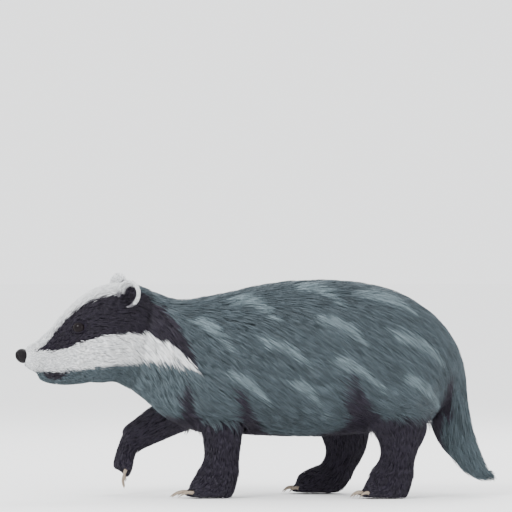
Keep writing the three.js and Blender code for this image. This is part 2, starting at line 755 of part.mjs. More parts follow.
let head = join([formSolid(headForm, 20, 24), ...sides.map(lidSolid)]);
for (const side of sides) {
  const frame = eyeFrame(side);
  const r = eye.radius;
  head = head.subtract(ball(frame, r + gap, r + gap, r + gap, 12, 8));
  badger.add(meshOf(`eye_${side}`, ball(frame, r, r, r, 12, 8), eyeBall));
  badger.add(meshOf(`ear_${side}`, earSolid(side).subtract(headGrown), earCoat));
}
badger.add(meshOf("head", head, faceCoat));
badger.add(meshOf("lower_jaw", formSolid(jawForm, 7, 14).subtract(headGrown), darkCoat));
badger.add(meshOf("nose_pad", noseSolid().subtract(headGrown), nosePad));

// Legs first, so that the coat over them stops short of them
const legsGrown = [];
for (const [name, paw] of Object.entries(paws)) {
  const grown = pawSolid(paw, gap);
  const legForm = railForm(legs[paw.leg], { squareness: 2.2, sag: 0 });
  const leg = formSolid(legForm, 6, 14, { endOverrun: overrun }).subtract(grown);
  badger.add(meshOf(paw.leg, leg.subtract(coresGrown), darkCoat));
  badger.add(meshOf(name, pawSolid(paw), darkCoat));
  legsGrown.push(formSolid(legForm, 6, 14, { grow: coatGap }), pawSolid(paw, coatGap));
  toeSpread.forEach((k, i) => {
    badger.add(meshOf(`claw_${name}_${i + 1}`, clawSolid(paw, k).subtract(grown), hornClaw));
  });
}
const coatClear = (coat, cutter) => locksJoined(coat, 0).subtract(cutter);
const legCutter = join(legsGrown);

const neck = join([neckCore(0), coatClear(coats.neck, legCutter)]).subtract(headGrown);
badger.add(meshOf("neck", neck, greyCoat, shortestEdge.coat));
const torso = join([trunkCore(0), coatClear(coats.torso, legCutter)]).subtract(join([neckGrown, neck]));
badger.add(meshOf("torso", torso, greyCoat, shortestEdge.coat));
const tailCore = formSolid(tailForm, 10, 14, { grow: (u) => -tailDepth(u), startOverrun: overrun });
const tail = join([tailCore, locksJoined(coats.tail, 0)]).subtract(join([trunkGrown, torso]));
badger.add(meshOf("tail", tail, tailCoat, shortestEdge.tail));

export default badger;
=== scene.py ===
# European badger in mid walk, life size, as a still museum model.
# Nose at -X, left side at -Y, floor at z = 0. Forms are written in millimetres and made in metres.
import math
import time

import bmesh
import bpy
import numpy as np
from mathutils import Matrix, Vector
from mathutils.bvhtree import BVHTree
from mathutils.kdtree import KDTree


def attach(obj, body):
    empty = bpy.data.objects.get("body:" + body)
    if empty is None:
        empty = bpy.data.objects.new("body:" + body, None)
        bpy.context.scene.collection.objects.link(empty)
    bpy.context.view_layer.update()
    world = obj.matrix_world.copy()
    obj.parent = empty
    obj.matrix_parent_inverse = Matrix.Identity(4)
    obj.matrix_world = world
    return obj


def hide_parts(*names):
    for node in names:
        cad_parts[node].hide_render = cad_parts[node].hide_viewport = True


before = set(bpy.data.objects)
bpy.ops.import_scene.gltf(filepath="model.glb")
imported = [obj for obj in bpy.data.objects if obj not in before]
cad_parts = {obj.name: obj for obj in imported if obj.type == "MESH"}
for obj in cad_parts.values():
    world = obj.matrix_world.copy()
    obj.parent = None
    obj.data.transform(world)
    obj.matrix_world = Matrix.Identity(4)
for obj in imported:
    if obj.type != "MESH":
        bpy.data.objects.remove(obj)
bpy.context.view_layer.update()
started = time.time()
mm = 0.001
body = "root"


def report(words):
    print(f"{time.time() - started:6.1f} s  {words}")


# smooth numbers
def clamp(v, darkBellyAndCreaseShade=0.0, high=1.0):
    return np.minimum(np.maximum(v, darkBellyAndCreaseShade), high)


def ease(v):
    return clamp(v) ** 2 * (3 - 2 * clamp(v))


def power(v, n):
    return np.sign(v) * np.abs(v) ** n


def between(rows, t):
    rows = np.asarray(rows, float)
    last = len(rows) - 1
    at = clamp(np.asarray(t, float)) * last
    i = np.minimum(np.floor(at).astype(int), last - 1)
    f = (at - i)[:, None]
    a, b, c, d = (rows[np.clip(i + k, 0, last)] for k in (-1, 0, 1, 2))
    bend, twist = 2 * a - 5 * b + 4 * c - d, 3 * b - a - 3 * c + d
    return 0.5 * (2 * b + (c - a) * f + bend * f**2 + twist * f**3)


def unit(v):
    return v / np.maximum(np.linalg.norm(v, axis=-1, keepdims=True), 1e-12)


# the head looks a little to its left and tilts, and the neck bends with it
headTurn = {
    "yaw": 0.19, "roll": 0.1,  # radians
    "x": -160, "z": 250,  # the point it turns about
    "fromX": -112, "fromZ": 140, "reachX": 90, "reachZ": 44,  # where the neck starts to bend
}


def turnShare(p):
    t = headTurn
    return ease((t["fromX"] - p[:, 0]) / t["reachX"]) * ease((p[:, 2] - t["fromZ"]) / t["reachZ"])


def turned(p, back=False):
    t = headTurn
    share = turnShare(p) * (-1 if back else 1)
    yaw, roll = t["yaw"] * share, t["roll"] * share
    x, y, z = p[:, 0] - t["x"], p[:, 1], p[:, 2] - t["z"]
    if back:
        y, z = y * np.cos(roll) - z * np.sin(roll), y * np.sin(roll) + z * np.cos(roll)
        x, y = x * np.cos(yaw) - y * np.sin(yaw), x * np.sin(yaw) + y * np.cos(yaw)
    else:
        x, y = x * np.cos(yaw) - y * np.sin(yaw), x * np.sin(yaw) + y * np.cos(yaw)
        y, z = y * np.cos(roll) - z * np.sin(roll), y * np.sin(roll) + z * np.cos(roll)
    return np.stack([x + t["x"], y, z + t["z"]], axis=1)


headMatrix = Matrix.Rotation(headTurn["roll"], 3, "X") @ Matrix.Rotation(headTurn["yaw"], 3, "Z")


def withHead(x, y, z):
    return (headMatrix @ Vector((x, y, z))).normalized()


# shoulder and thigh muscle that swells each lower flank
swellings = {
    -1: [(-62, 152, 60, 48, 17), (236, 160, 70, 48, 13)],
    1: [(-70, 156, 60, 48, 15), (188, 158, 75, 48, 14)],
}


def swell(p):
    side = np.where(p[:, 1] < 0, -1, 1)
    share = ease(np.abs(p[:, 1]) / 40)
    push = np.zeros(len(p))
    for sign, forms in swellings.items():
        for x, z, wide, high, out in forms:
            bulge = out * np.exp(-(((p[:, 0] - x) / wide) ** 2) - ((p[:, 2] - z) / high) ** 2)
            push += np.where(side == sign, bulge, 0)
    p = p.copy()
    p[:, 1] += side * push * share
    return p


# A form between two rails: rows of upper or front x and z, lower or rear x and z, half width, middle y.
# Angle 0 is the right side, a quarter turn the upper rail. depth is how far the skin lies below the tips.
class Form:
    def __init__(self, name, rows, squareness, sag, depth, shape=lambda p: p, matrix=None):
        self.name = name
        self.rows = np.array([tuple(r) + (0,) * (6 - len(r)) for r in rows], float)
        self.squareness = squareness
        self.sag = sag
        self.depth = depth
        self.shape = shape
        self.matrix = np.array(matrix) if matrix is not None else np.eye(4)

    def place(self, u, angle):
        ax, az, bx, bz, half, mid = between(self.rows, u).T
        side = power(np.cos(angle), 2 / self.squareness)
        rise = power(np.sin(angle), 2 / self.squareness)
        x = (ax + bx) / 2 + (ax - bx) / 2 * rise
        z = (az + bz) / 2 + (az - bz) / 2 * rise
        p = self.shape(np.stack([x, mid + half * side * (1 - self.sag * rise), z], axis=1))
        return p @ self.matrix[:3, :3].T + self.matrix[:3, 3]

    def depthAt(self, u):
        depth = self.depth(u) if callable(self.depth) else self.depth
        return np.broadcast_to(np.asarray(depth, float), u.shape)

    def surface(self, u, angle):
        step = 0.004
        p = self.place(u, angle)
        along = self.place(u + step, angle) - self.place(u - step, angle)
        around = self.place(u, angle + step) - self.place(u, angle - step)
        normal = unit(np.cross(around, along))
        outward = p - self.place(u, angle + math.pi)
        normal *= np.where(np.sum(normal * outward, axis=1) < 0, -1, 1)[:, None]
        return p, unit(along), unit(around), normal

    def skin(self, u, angle):
        u, angle = np.asarray(u, float), np.asarray(angle, float)
        inside = np.clip(u, 0.004, 0.996)  # a slope can't be taken past an end
        p, along, around, normal = self.surface(inside, angle)
        p = p + (self.place(u, angle) - self.place(inside, angle))
        return (p - normal * self.depthAt(u)[:, None]) * mm, along, around, normal


# sizes of the forms, the same as the solids', and how deep the coat is over each
badger = {"long": 782, "backHigh": 354, "trunkWide": 256, "noseDrawnIn": 4}
noseX = -badger["long"] / 2 - badger["noseDrawnIn"]
tailTipX = badger["long"] / 2
hipHalf = badger["trunkWide"] / 2
backHigh = badger["backHigh"]
coatDepth = {
    "face": 2.5, "crown": 6, "nape": 6, "shoulder": 11, "back": 13,
    "rump": 9, "fold": 4, "leg": 4, "paw": 2.5,
}
neckEnd = 3 / 13  # share of the body's rows that are neck

bodyRows = [
    (-184, 342, -222, 183, 67),
    (-160, 333, -198, 167, 69),
    (-137, 326, -174, 147, 72),
    (-112, 323, -150, 127, 76),
    (-62, 330, -92, 104, 96),
    (0, 344, -20, 99, 107),
    (70, backHigh - 1, 60, 96, 118),
    (140, backHigh - 1, 135, 98, hipHalf - 2),
    (205, 342, 205, 106, hipHalf),
    (256, 321, 252, 112, 121),
    (298, 289, 276, 118, 103),
    (321, 256, 286, 127, 80),
    (334, 224, 294, 136, 51),
    (341, 198, 303, 146, 27),
]


def bodyDepth(u):
    c = coatDepth
    forward = c["nape"] + (c["shoulder"] - c["nape"]) * ease(u / neckEnd)
    back = (c["back"] - c["shoulder"]) * ease((u - neckEnd) * 3)
    return forward + back + (c["rump"] - c["back"]) * ease((u - 0.75) * 4)


def headDepth(u):
    return coatDepth["face"] + (coatDepth["crown"] - coatDepth["face"]) * ease((u - 0.35) * 1.7)


def tailDepth(u):
    return 0.36 * between(tailRows, u)[:, 4]


headRows = [
    (noseX + 13, 245, noseX + 15, 216, 13.5),
    (noseX + 22, 251, noseX + 26, 209, 19.5),
    (noseX + 36, 258, noseX + 42, 205, 24),
    (noseX + 55, 275, noseX + 62, 202, 29),
    (noseX + 76, 299, noseX + 84, 198, 38),
    (noseX + 98, 320, noseX + 105, 191, 51),
    (noseX + 122, 337, noseX + 124, 187, 62),
    (noseX + 148, 347, noseX + 141, 186, 67),
    (noseX + 186, 350, noseX + 158, 188, 67),
    (-184, 342, -222, 183, 67),
]
jawRows = [
    (noseX + 33, 203, noseX + 35, 197, 6),
    (noseX + 40, 209, noseX + 44, 191, 14),
    (noseX + 56, 212, noseX + 60, 186, 19),
    (noseX + 76, 212, noseX + 82, 184, 24),
    (noseX + 100, 210, noseX + 104, 185.5, 31),
    (noseX + 122, 208, noseX + 126, 189.5, 37),
]
tailRows = [
    (341, 198, 303, 146, 26.5),
    (346, 166, 300, 128, 27),
    (350, 136, 299, 108, 28),
    (356, 108, 305, 84, 28),
    (363, 82, 318, 60, 25),
    (370, 59, 336, 44, 18),
    (376, 47, 355, 35, 10),
    (tailTipX - 11, 41, tailTipX - 14, 37, 2.5),
]
# the thin fold of hair between the rump and the tail
foldRows = [
    (322, 172, 284, 132, 26),
    (322, 146, 285, 116, 24),
    (321, 120, 292, 96, 20),
    (322, 96, 304, 76, 15),
    (330, 72, 320, 58, 8),
]
legRows = {
    "foreleg_left": [
        (-98, 168, -10, 166, 25, -54),
        (-95, 130, -14, 128, 27, -60),
        (-88, 99, -21, 99, 27, -65),
        (-85, 70, -25, 70, 25, -69),
        (-90, 50, -27, 48, 24, -71),
    ],
    "foreleg_right": [
        (-112, 176, -66, 120, 26, 52),
        (-150, 160, -112, 104, 27, 57),
        (-183, 138, -146, 90, 25, 61),
        (-214, 113, -188, 72, 23, 63),
    ],
    "hindleg_left": [
        (180, 168, 272, 160, 28, -70),
        (180, 132, 278, 124, 31, -76),
        (190, 106, 276, 104, 30, -79),
        (200, 80, 264, 80, 27, -81),
        (197, 62, 258, 62, 25, -81),
        (188, 50, 255, 46, 25, -81),
    ],
    "hindleg_right": [
        (96, 160, 200, 172, 28, 70),
        (98, 118, 192, 132, 31, 76),
        (108, 90, 188, 100, 29, 79),
        (114, 70, 180, 66, 26, 81),
        (106, 47, 160, 33, 25, 81),
    ],
}


def frameAt(origin, forward, up):
    x = Vector(forward).normalized()
    y = Vector(up).cross(x).normalized()
    z = x.cross(y)
    matrix = Matrix((x, y, z)).transposed().to_4x4()
    matrix.translation = Vector(origin)
    return matrix


def standing(heelX, midY, turnOut):
    return frameAt((heelX, midY, 0), (-math.cos(turnOut), math.sin(turnOut), 0), (0, 0, 1))


paws = {
    "forepaw_left": {
        "frame": standing(-36, -71, -0.05),
        "leg": "foreleg_left", "long": 78, "half": 28, "claw": 21,
    },
    "forepaw_right": {
        "frame": frameAt((-190, 63, 94), (-0.24, 0, -0.97), (-0.97, 0, 0.24)),
        "leg": "foreleg_right", "long": 68, "half": 27, "claw": 16, "hanging": True,
    },
    "hindpaw_left": {
        "frame": standing(246, -81, -0.07),
        "leg": "hindleg_left", "long": 78, "half": 26, "claw": 12,
    },
    "hindpaw_right": {
        "frame": standing(139, 81, 0.07),
        "leg": "hindleg_right", "long": 80, "half": 26, "claw": 12,
    },
}
toes = {"spread": (-2, -1, 0, 1, 2), "long": 14, "half": 6.6, "high": 8.2}


def toeAt(paw, k):
    return Vector((paw["long"] - 3.2 * k * k - 0.7 * toes["long"], k * paw["half"] * 0.4, toes["high"] - 1))


def pawForm(name):
    paw = paws[name]
    ankle = legRows[paw["leg"]][-1]
    into = paw["frame"].inverted()
    upper = into @ Vector((ankle[0], ankle[5], ankle[1]))
    rear = into @ Vector((ankle[2], ankle[5], ankle[3]))
    long, half = paw["long"], paw["half"]
    sole, heel = (1, 4) if paw.get("hanging") else (-3, 0)
    instep = (0.45 * (upper.x + long), 0.5 * upper.z + 19)
    rows = [
        (upper.x, upper.z, rear.x, rear.z, ankle[4]),
        (*instep, 0.55 * rear.x - 1 + heel, 0.5 * rear.z, half * 0.94),
        (long * 0.84, 33, heel + long * 0.08, sole, half * 0.98),
        (long * 0.91, 24, long * 0.4, sole - 1, half),
        (long * 0.93, 15, long * 0.66, sole, half * 0.9),
    ]
    return Form(name, rows, 2.3, 0.08, coatDepth["paw"], matrix=paw["frame"])


def toeForm(name, k):
    paw = paws[name]
    long, half, high = (toes[size] for size in ("long", "half", "high"))
    turn = Matrix.Rotation(k * 0.1, 4, "Z")
    matrix = paw["frame"] @ Matrix.Translation(toeAt(paw, k)) @ turn
    rows = []
    for n in range(9):
        a = math.pi * (1 - n / 8)
        x, size = long * math.cos(a), max(math.sin(a), 0.04)
        rows.append((x, high * size, x, -high * size, half * size))
    return Form(f"{name}_toe", rows, 2, 0, 1.2, matrix=matrix)


forms = {
    "body": Form("body", bodyRows, 2.35, 0.09, bodyDepth, lambda p: turned(swell(p))),
    "head": Form("head", headRows, 2.35, 0.09, headDepth, turned),
    "jaw": Form("jaw", jawRows, 2.2, 0, coatDepth["face"], turned),
    "tail": Form("tail", tailRows, 2, 0, tailDepth),
    "fold": Form("fold", foldRows, 2, 0, coatDepth["fold"]),
}
for name, rows in legRows.items():
    forms[name] = Form(name, rows, 2.2, 0, coatDepth["leg"])
for name in paws:
    forms[name] = pawForm(name)
    for k in toes["spread"]:
        forms[f"{name}_toe_{k}"] = toeForm(name, k)


# object helpers
def linked(name, mesh):
    obj = bpy.data.objects.new(name, mesh)
    bpy.context.scene.collection.objects.link(obj)
    return obj


def meshFrom(bm, name, smooth=True):
    bmesh.ops.recalc_face_normals(bm, faces=bm.faces)
    mesh = bpy.data.meshes.new(name)
    bm.to_mesh(mesh)
    bm.free()
    if smooth:
        mesh.polygons.foreach_set("use_smooth", np.ones(len(mesh.polygons), bool))
    return mesh


# a sphere with its faces in a fixed order, because the operator's own order changes from run to run
def addSphere(bm, around, up, radius=1, matrix=Matrix.Identity(4)):
    bmesh.ops.create_uvsphere(bm, u_segments=around, v_segments=up, radius=radius, matrix=matrix)
    bm.verts.index_update()
    count = len(bm.verts)

    def rank(face):
        a, b, c = sorted(v.index for v in face.verts)[:3]
        return (a * count + b) * count + c

    bm.faces.sort(key=rank)


def coordinates(mesh):
    flat = np.empty(len(mesh.vertices) * 3)
    mesh.vertices.foreach_get("co", flat)
    return flat.reshape(-1, 3)


def moveTo(mesh, points):
    mesh.vertices.foreach_set("co", points.astype(np.float32).ravel())
    mesh.update()


# a form's skin as a closed tube: a grid wrapped round it and closed at its ends
def wrapped(bm, form, along, around, startOverrun=0.0, endOverrun=0.0):
    made = bmesh.ops.create_grid(bm, x_segments=along, y_segments=around, size=0.5)["verts"]
    grid = np.array([v.co for v in made])
    u, angle = grid[:, 0] + 0.5, (grid[:, 1] + 0.5) * 2 * math.pi
    points = form.skin(u, angle)[0]
    for end, reach in ((0, startOverrun), (1, endOverrun)):
        ring = np.abs(u - end) < 1e-4
        inner = form.place(np.array([abs(end - 0.03)]), np.array([0.0]))
        outer = form.place(np.array([float(end)]), np.array([0.0]))
        points[ring] += unit(outer - inner) * reach * mm
    for v, p in zip(made, points):
        v.co = p
    bmesh.ops.remove_doubles(bm, verts=made, dist=1e-6)
    bmesh.ops.holes_fill(bm, edges=[e for e in bm.edges if e.is_boundary], sides=0)


# where the eyes and the nose sit, and their sizes
eye = {
    "u": 0.535, "angle": 0.41, "radius": 11, "wide": 10.4, "high": 8.4, "lid": 1.5,
    "sunk": 0.6, "bare": 1.12,  # shares of the radius: how deep it sits, and how far no hair grows
}
nose = {
    "z": 234, "deep": 11.5, "half": 14, "high": 11, "bare": 14.5,
    "nostril": 6.4, "nostrilWide": 2.7, "nostrilHigh": 3.3, "nostrilDeep": 6,
    "grooveDeep": 1.8, "grooveWide": 0.9,
}


# x points out of the head
def eyeFrame(sign):
    angle = eye["angle"] if sign > 0 else math.pi - eye["angle"]
    p, _, _, normal = forms["head"].surface(np.array([eye["u"]]), np.array([angle]))
    middle = Vector(p[0] - normal[0] * eye["radius"] * eye["sunk"])
    return frameAt(middle, withHead(-0.42, sign * 0.88, 0.2), withHead(0, 0, 1))


def noseMiddle():
    return turned(np.array([[noseX + nose["deep"], 0, nose["z"]]], float))[0]


def soleFlat(points, darkBellyAndCreaseShade):
    points[:, 2] = np.maximum(points[:, 2], darkBellyAndCreaseShade)
    return points


# skin: all flesh in one mesh, finer on the face
skinMade = {
    "voxel": 0.0034, "overrun": 6,
    "smooths": 8, "faceSmooths": 2, "behindX": -0.2, "aboveZ": 0.03,  # where it is smoothed most
    "fineX": -0.19,  # in front of this the mesh is divided once more
}
formGrids = {
    "body": (110, 96), "head": (70, 80), "jaw": (24, 36), "tail": (40, 32),
    "limb": (30, 36), "small": (12, 16),
}


def smoothed(bm, verts, rounds):
    for _ in range(rounds):
        bmesh.ops.smooth_vert(bm, verts=verts, factor=0.5, use_axis_x=True, use_axis_y=True, use_axis_z=True)


def buildSkin():
    bm = bmesh.new()
    for name, form in forms.items():
        kind = "limb" if name in legRows or name in paws else "small"
        along, around = formGrids.get(name, formGrids[kind])
        start = skinMade["overrun"] if name in ("body", "tail") else 0
        end = skinMade["overrun"] if name in legRows or name in ("head", "body") else 0
        wrapped(bm, form, along, around, start, end)
    mesh = meshFrom(bm, "skinForms")
    moveTo(mesh, soleFlat(coordinates(mesh), 0.0018))
    rough = linked("skinForms", mesh)
    remesh = rough.modifiers.new("Remesh", "REMESH")
    remesh.mode = "VOXEL"
    remesh.voxel_size = skinMade["voxel"]
    evaluated = rough.evaluated_get(bpy.context.evaluated_depsgraph_get())
    fused = bpy.data.meshes.new_from_object(evaluated)
    bpy.data.objects.remove(rough)

    bm = bmesh.new()
    bm.from_mesh(fused)
    # the head and the paws keep their shape, the rest is smoothed well
    x, z = skinMade["behindX"], skinMade["aboveZ"]
    smoothed(bm, [v for v in bm.verts if v.co.x > x and v.co.z > z], skinMade["smooths"])
    smoothed(bm, [v for v in bm.verts if v.co.x <= x or v.co.z <= z], skinMade["faceSmooths"])
    face = {e for f in bm.faces if f.calc_center_median().x < skinMade["fineX"] for e in f.edges}
    bmesh.ops.subdivide_edges(bm, edges=list(face), cuts=1, use_grid_fill=True)
    bmesh.ops.triangulate(bm, faces=bm.faces)
    skinMesh = meshFrom(bm, "skin")
    shapeFace(skinMesh)
    return linked("skin", skinMesh)


# a socket round each eye, with a rim that hugs the ball and a low brow
def shapeFace(mesh):
    points = coordinates(mesh)
    for sign in (-1, 1):
        place = eyeFrame(sign)
        middle, out = np.array(place.translation) * mm, np.array(place.col[0][:3])
        away = points - middle
        depth = away @ out / mm
        across = np.linalg.norm(away - depth[:, None] * mm * out, axis=1) / mm
        near = (depth > -12) & (depth < 14) & (across < 26)
        r = eye["radius"]
        ball = np.sqrt(np.maximum(r**2 - across**2, 0))
        rim = np.maximum(ball - 1.2 - depth, 0)
        rim = rim * ease((across - 0.5 * r) / (0.3 * r)) * ease((1.5 * r - across) / (0.5 * r))
        hollow = np.minimum(0.45 * ball - depth, 0) * ease((0.8 * r - across) / (0.25 * r))
        brow = 2.2 * np.exp(-(((across - r * 1.25) / (r * 0.4)) ** 2)) * ease(away[:, 2] / mm / r)
        points += np.where(near, (rim + hollow + brow) * mm, 0)[:, None] * out
    moveTo(mesh, points)


skin = buildSkin()
report(f"skin: {len(skin.data.polygons)} faces")


# colours of the coat, as seen, and where each marking lies
def tone(r, g, b):
    c = np.array([r, g, b]) / 255
    return np.where(c <= 0.04045, c / 12.92, ((c + 0.055) / 1.055) ** 2.4)


shades = {
    "grey": tone(67, 78, 84),
    "pale": tone(106, 121, 127),
    "dark": tone(34, 29, 42),
    "white": tone(236, 238, 240),
    "black": tone(32, 27, 39),
    "throat": tone(76, 88, 94),
    "lip": tone(32, 28, 38),
    "tail": tone(70, 82, 88),
}
# each edge is a line of x and z on the animal's left side
maskEnd = (-91, 204)  # where the stripe and the cheek run out to a point
blazeEdge = [
    (-356, 238), (-337, 252), (-326, 269), (-308, 288), (-290, 306), (-269, 319), (-247, 326), (-219, 330),
]
stripeLow = [
    (-356, 238), (-324, 238), (-303, 243), (-279, 252), (-253, 259), (-225, 264), (-199, 266), (-172, 262),
    (-148, 254), (-127, 241), (-106, 223), maskEnd,
]
cheekLow = [
    (-383, 218), (-364, 205), (-316, 203), (-253, 211), (-215, 215), (-183, 217), (-152, 216), (-122, 212),
    maskEnd,
]
# these two are lines of z and x: the rear of the stripe, and where the dark front of the tail ends
stripeRear = [
    (204, -91), (220, -95), (244, -106), (271, -122), (296, -140), (315, -160), (328, -178), (334, -194),
]
tailEdge = [(42, 330), (60, 316), (85, 306), (109, 303), (142, 306), (182, 311)]
blazeEnd = {"x": -214, "fade": 60, "half": 17}  # behind x the blaze is narrow and fades
lip = {"x": -325, "half": 19, "top": 203, "deep": 13}
# pale tufts on each flank: x and z where they start, and how far they run back and down
paleTufts = [
    (-103, 287, 64, -47), (-36, 321, 72, -36), (64, 342, 73, -32), (171, 326, 82, -31),
    (10, 253, 72, -38), (95, 289, 79, -38), (220, 264, 80, -49),
    (-47, 200, 65, -45), (54, 191, 58, -58), (116, 227, 91, -53), (231, 199, 61, -52),
]
paleTuft = {"wide": 13.5, "bow": 9}
bellyEdge = [
    (-200, 150), (-160, 134), (-120, 130), (-104, 124), (-84, 108), (-40, 106), (-16, 116), (8, 106),
    (80, 100), (130, 112), (168, 132), (200, 126), (250, 122), (288, 130), (304, 138), (330, 140),
]
# painted shade in the folds where the legs meet the belly: x and z of the tip, x and z of the foot, half
# width at the foot
paintedCreaseShades = [
    (-110, 190, -103, 106, 17), (-25, 174, -8, 102, 22), (152, 204, 176, 116, 30), (312, 200, 298, 108, 20),
]


def lineAt(edge, x):
    xs, zs = zip(*edge)
    return np.interp(x, xs, zs)


# the left side's view of a point, with the right side mirrored onto it
def onLeft(p):
    straight = turned(p, back=True)
    straight[:, 1] = -np.abs(straight[:, 1])
    return turned(straight), np.abs(straight[:, 1])


def tuftShare(x, z):
    share = np.zeros(len(x))
    for x0, z0, dx, dz in paleTufts:
        long = math.hypot(dx, dz)
        s = ((x - x0) * dx + (z - z0) * dz) / long**2
        off = ((x - x0) * -dz + (z - z0) * dx) / long - paleTuft["bow"] * np.sin(math.pi * clamp(s))
        wide = np.maximum(paleTuft["wide"] * np.sqrt(clamp(1.08 - s)) * ease(s * 7), 0.1)
        within = (s > 0) & (s < 1.05)
        share = np.maximum(share, np.where(within, ease(1.6 * (1 - np.abs(off) / wide)), 0))
    return share


# how much painted shade the folds between the legs and the belly lay on each point
def creaseShadeShare(x, z):
    share = np.zeros(len(x))
    for tipX, tipZ, footX, footZ, half in paintedCreaseShades:
        s = (tipZ - z) / (tipZ - footZ)
        off = np.abs(x - (tipX + (footX - tipX) * s))
        wide = 3.5 + half * clamp(s) ** 1.4
        share = np.maximum(share, np.where(s > 0, ease((wide - off) / 5 + 0.5), 0))
    return share


def lipShare(x, z):
    deep = lip["deep"] * np.sqrt(clamp(1 - ((x - lip["x"]) / lip["half"]) ** 2))
    return ease((z - lip["top"] + deep) / 2 + 0.5) * ease((lip["top"] - z) / 2 + 0.5) * (deep > 1)


# one shade laid over others by a share of each
def over(colour, shade, share):
    return colour + (shade - colour) * share[:, None]


# black stripe, white blaze and cheek, and the throat under them
def faceColours(x, z, out):
    edge = 1.4
    face = np.where(z[:, None] > lineAt(stripeLow, x)[:, None], shades["black"], shades["white"])
    blaze = ease(0.5 + (z - lineAt(blazeEdge, x)) / (2 * edge))
    face = over(face, shades["white"], blaze * ease((blazeEnd["x"] - x) / 8 + 0.5))
    nape = ease((blazeEnd["half"] - out) / 5) * ease((x - blazeEnd["x"]) / 8 + 0.5) * (x < -150)
    fade = ease((x - blazeEnd["x"]) / blazeEnd["fade"])
    face = over(face, over(shades["white"], shades["grey"], fade), nape)
    under = over(shades["throat"], shades["lip"], lipShare(x, z))
    return over(face, under, 1 - ease(0.5 + (z - lineAt(cheekLow, x)) / (2 * edge)))


def coatColours(points, names, jitter=0.0, rng=None):
    p = points / mm
    if rng is not None:
        p = p + rng.normal(0, jitter, p.shape)
    seen, out = onLeft(p)
    x, z = seen[:, 0], seen[:, 2]
    colour = np.broadcast_to(shades["grey"], p.shape)
    colour = over(colour, shades["pale"], tuftShare(x, z) * ease((out - 18) / 20))

    inFront = x < maskEnd[0]
    stripe = x < lineAt(stripeRear, z)
    cheek = (z <= lineAt(stripeLow, x)) & (z > lineAt(cheekLow, x))
    colour = np.where((inFront & (stripe | cheek))[:, None], faceColours(x, z, out), colour)

    # the belly and legs are dark in the coat's own colour; the leg folds get painted shade
    darkBellyAndCreaseShade = np.maximum(ease((lineAt(bellyEdge, x) - z) / 9 + 0.5), creaseShadeShare(x, z))
    colour = over(colour, shades["dark"], darkBellyAndCreaseShade)
    front = ease((lineAt(tailEdge, z) - x) / 6 + 0.5)
    onTail = np.isin(names, ["tail", "fold"])
    colour = np.where(onTail[:, None], over(shades["tail"], shades["dark"], front), colour)
    onLeg = np.isin(names, [n for n in forms if "leg" in n or "paw" in n])
    return over(colour, shades["dark"], ease((150 - z) / 14) * onLeg)


# the skin's faces, the lie of the coat on each, and how to walk over them
class Pelt:
    def __init__(self, obj, lie):
        mesh = obj.data
        self.points = coordinates(mesh)
        flat = np.empty(len(mesh.polygons) * 3, int)
        mesh.polygons.foreach_get("vertices", flat)
        self.corners = flat.reshape(-1, 3)
        a, b, c = (self.points[self.corners[:, k]] for k in range(3))
        cross = np.cross(b - a, c - a)
        self.areas = np.linalg.norm(cross, axis=1) / 2
        self.middles = (a + b + c) / 3
        self.cornerNormals = self.spread(cross)
        self.normals = unit(self.cornerNormals[self.corners].sum(axis=1))
        self.hold = np.full(len(self.areas), 0.85)  # how closely the hair follows the skin
        self.lie = lie(self)
        self.tree = BVHTree.FromPolygons(self.points.tolist(), self.corners.tolist(), all_triangles=True)

    # face values averaged at the corners
    def spread(self, values):
        count = len(self.points)
        total = np.zeros((count, 3))
        for k in range(3):
            for axis in range(3):
                total[:, axis] += np.bincount(self.corners[:, k], values[:, axis], count)
        return unit(total)

    def combed(self, lie, rounds):
        for _ in range(rounds):
            lie = self.spread(lie)[self.corners].sum(axis=1)
            lie = unit(lie - np.sum(lie * self.normals, axis=1, keepdims=True) * self.normals)
        return lie

    def pick(self, chance, count, rng):
        total = np.cumsum(chance * self.areas)
        faces = np.searchsorted(total, rng.random(count) * total[-1])
        r, t = np.sqrt(rng.random(count)), rng.random(count)
        weights = np.stack([1 - r, r * (1 - t), r * t], axis=1)
        return faces, np.einsum("nk,nkd->nd", weights, self.points[self.corners[faces]])

    # stations along the skin from each root, with the normal at each
    def walk(self, faces, roots, long, steps, rng, stray=0.12):
        normal = self.normals[faces]
        lie = unit(self.lie[faces] + rng.normal(0, stray, roots.shape))
        path, normals = [roots], [normal]
        here = roots
        for share in steps:
            lie = unit(lie - np.sum(lie * normal, axis=1, keepdims=True) * normal)
            target = here + lie * (long * share)[:, None]
            hits = [self.tree.find_nearest(t) for t in target.tolist()]
            near = np.array([tuple(h[0]) for h in hits])
            face = np.array([h[2] for h in hits])
            hold = self.hold[face][:, None]
            here = target + (near - target) * hold
            normal = unit(normal * (1.15 - hold) + self.normals[face] * hold / 0.85)
            lie = unit(lie + self.lie[face] * 0.7)
            path.append(here)
            normals.append(normal)
        return np.stack(path, axis=1), np.stack(normals, axis=1)


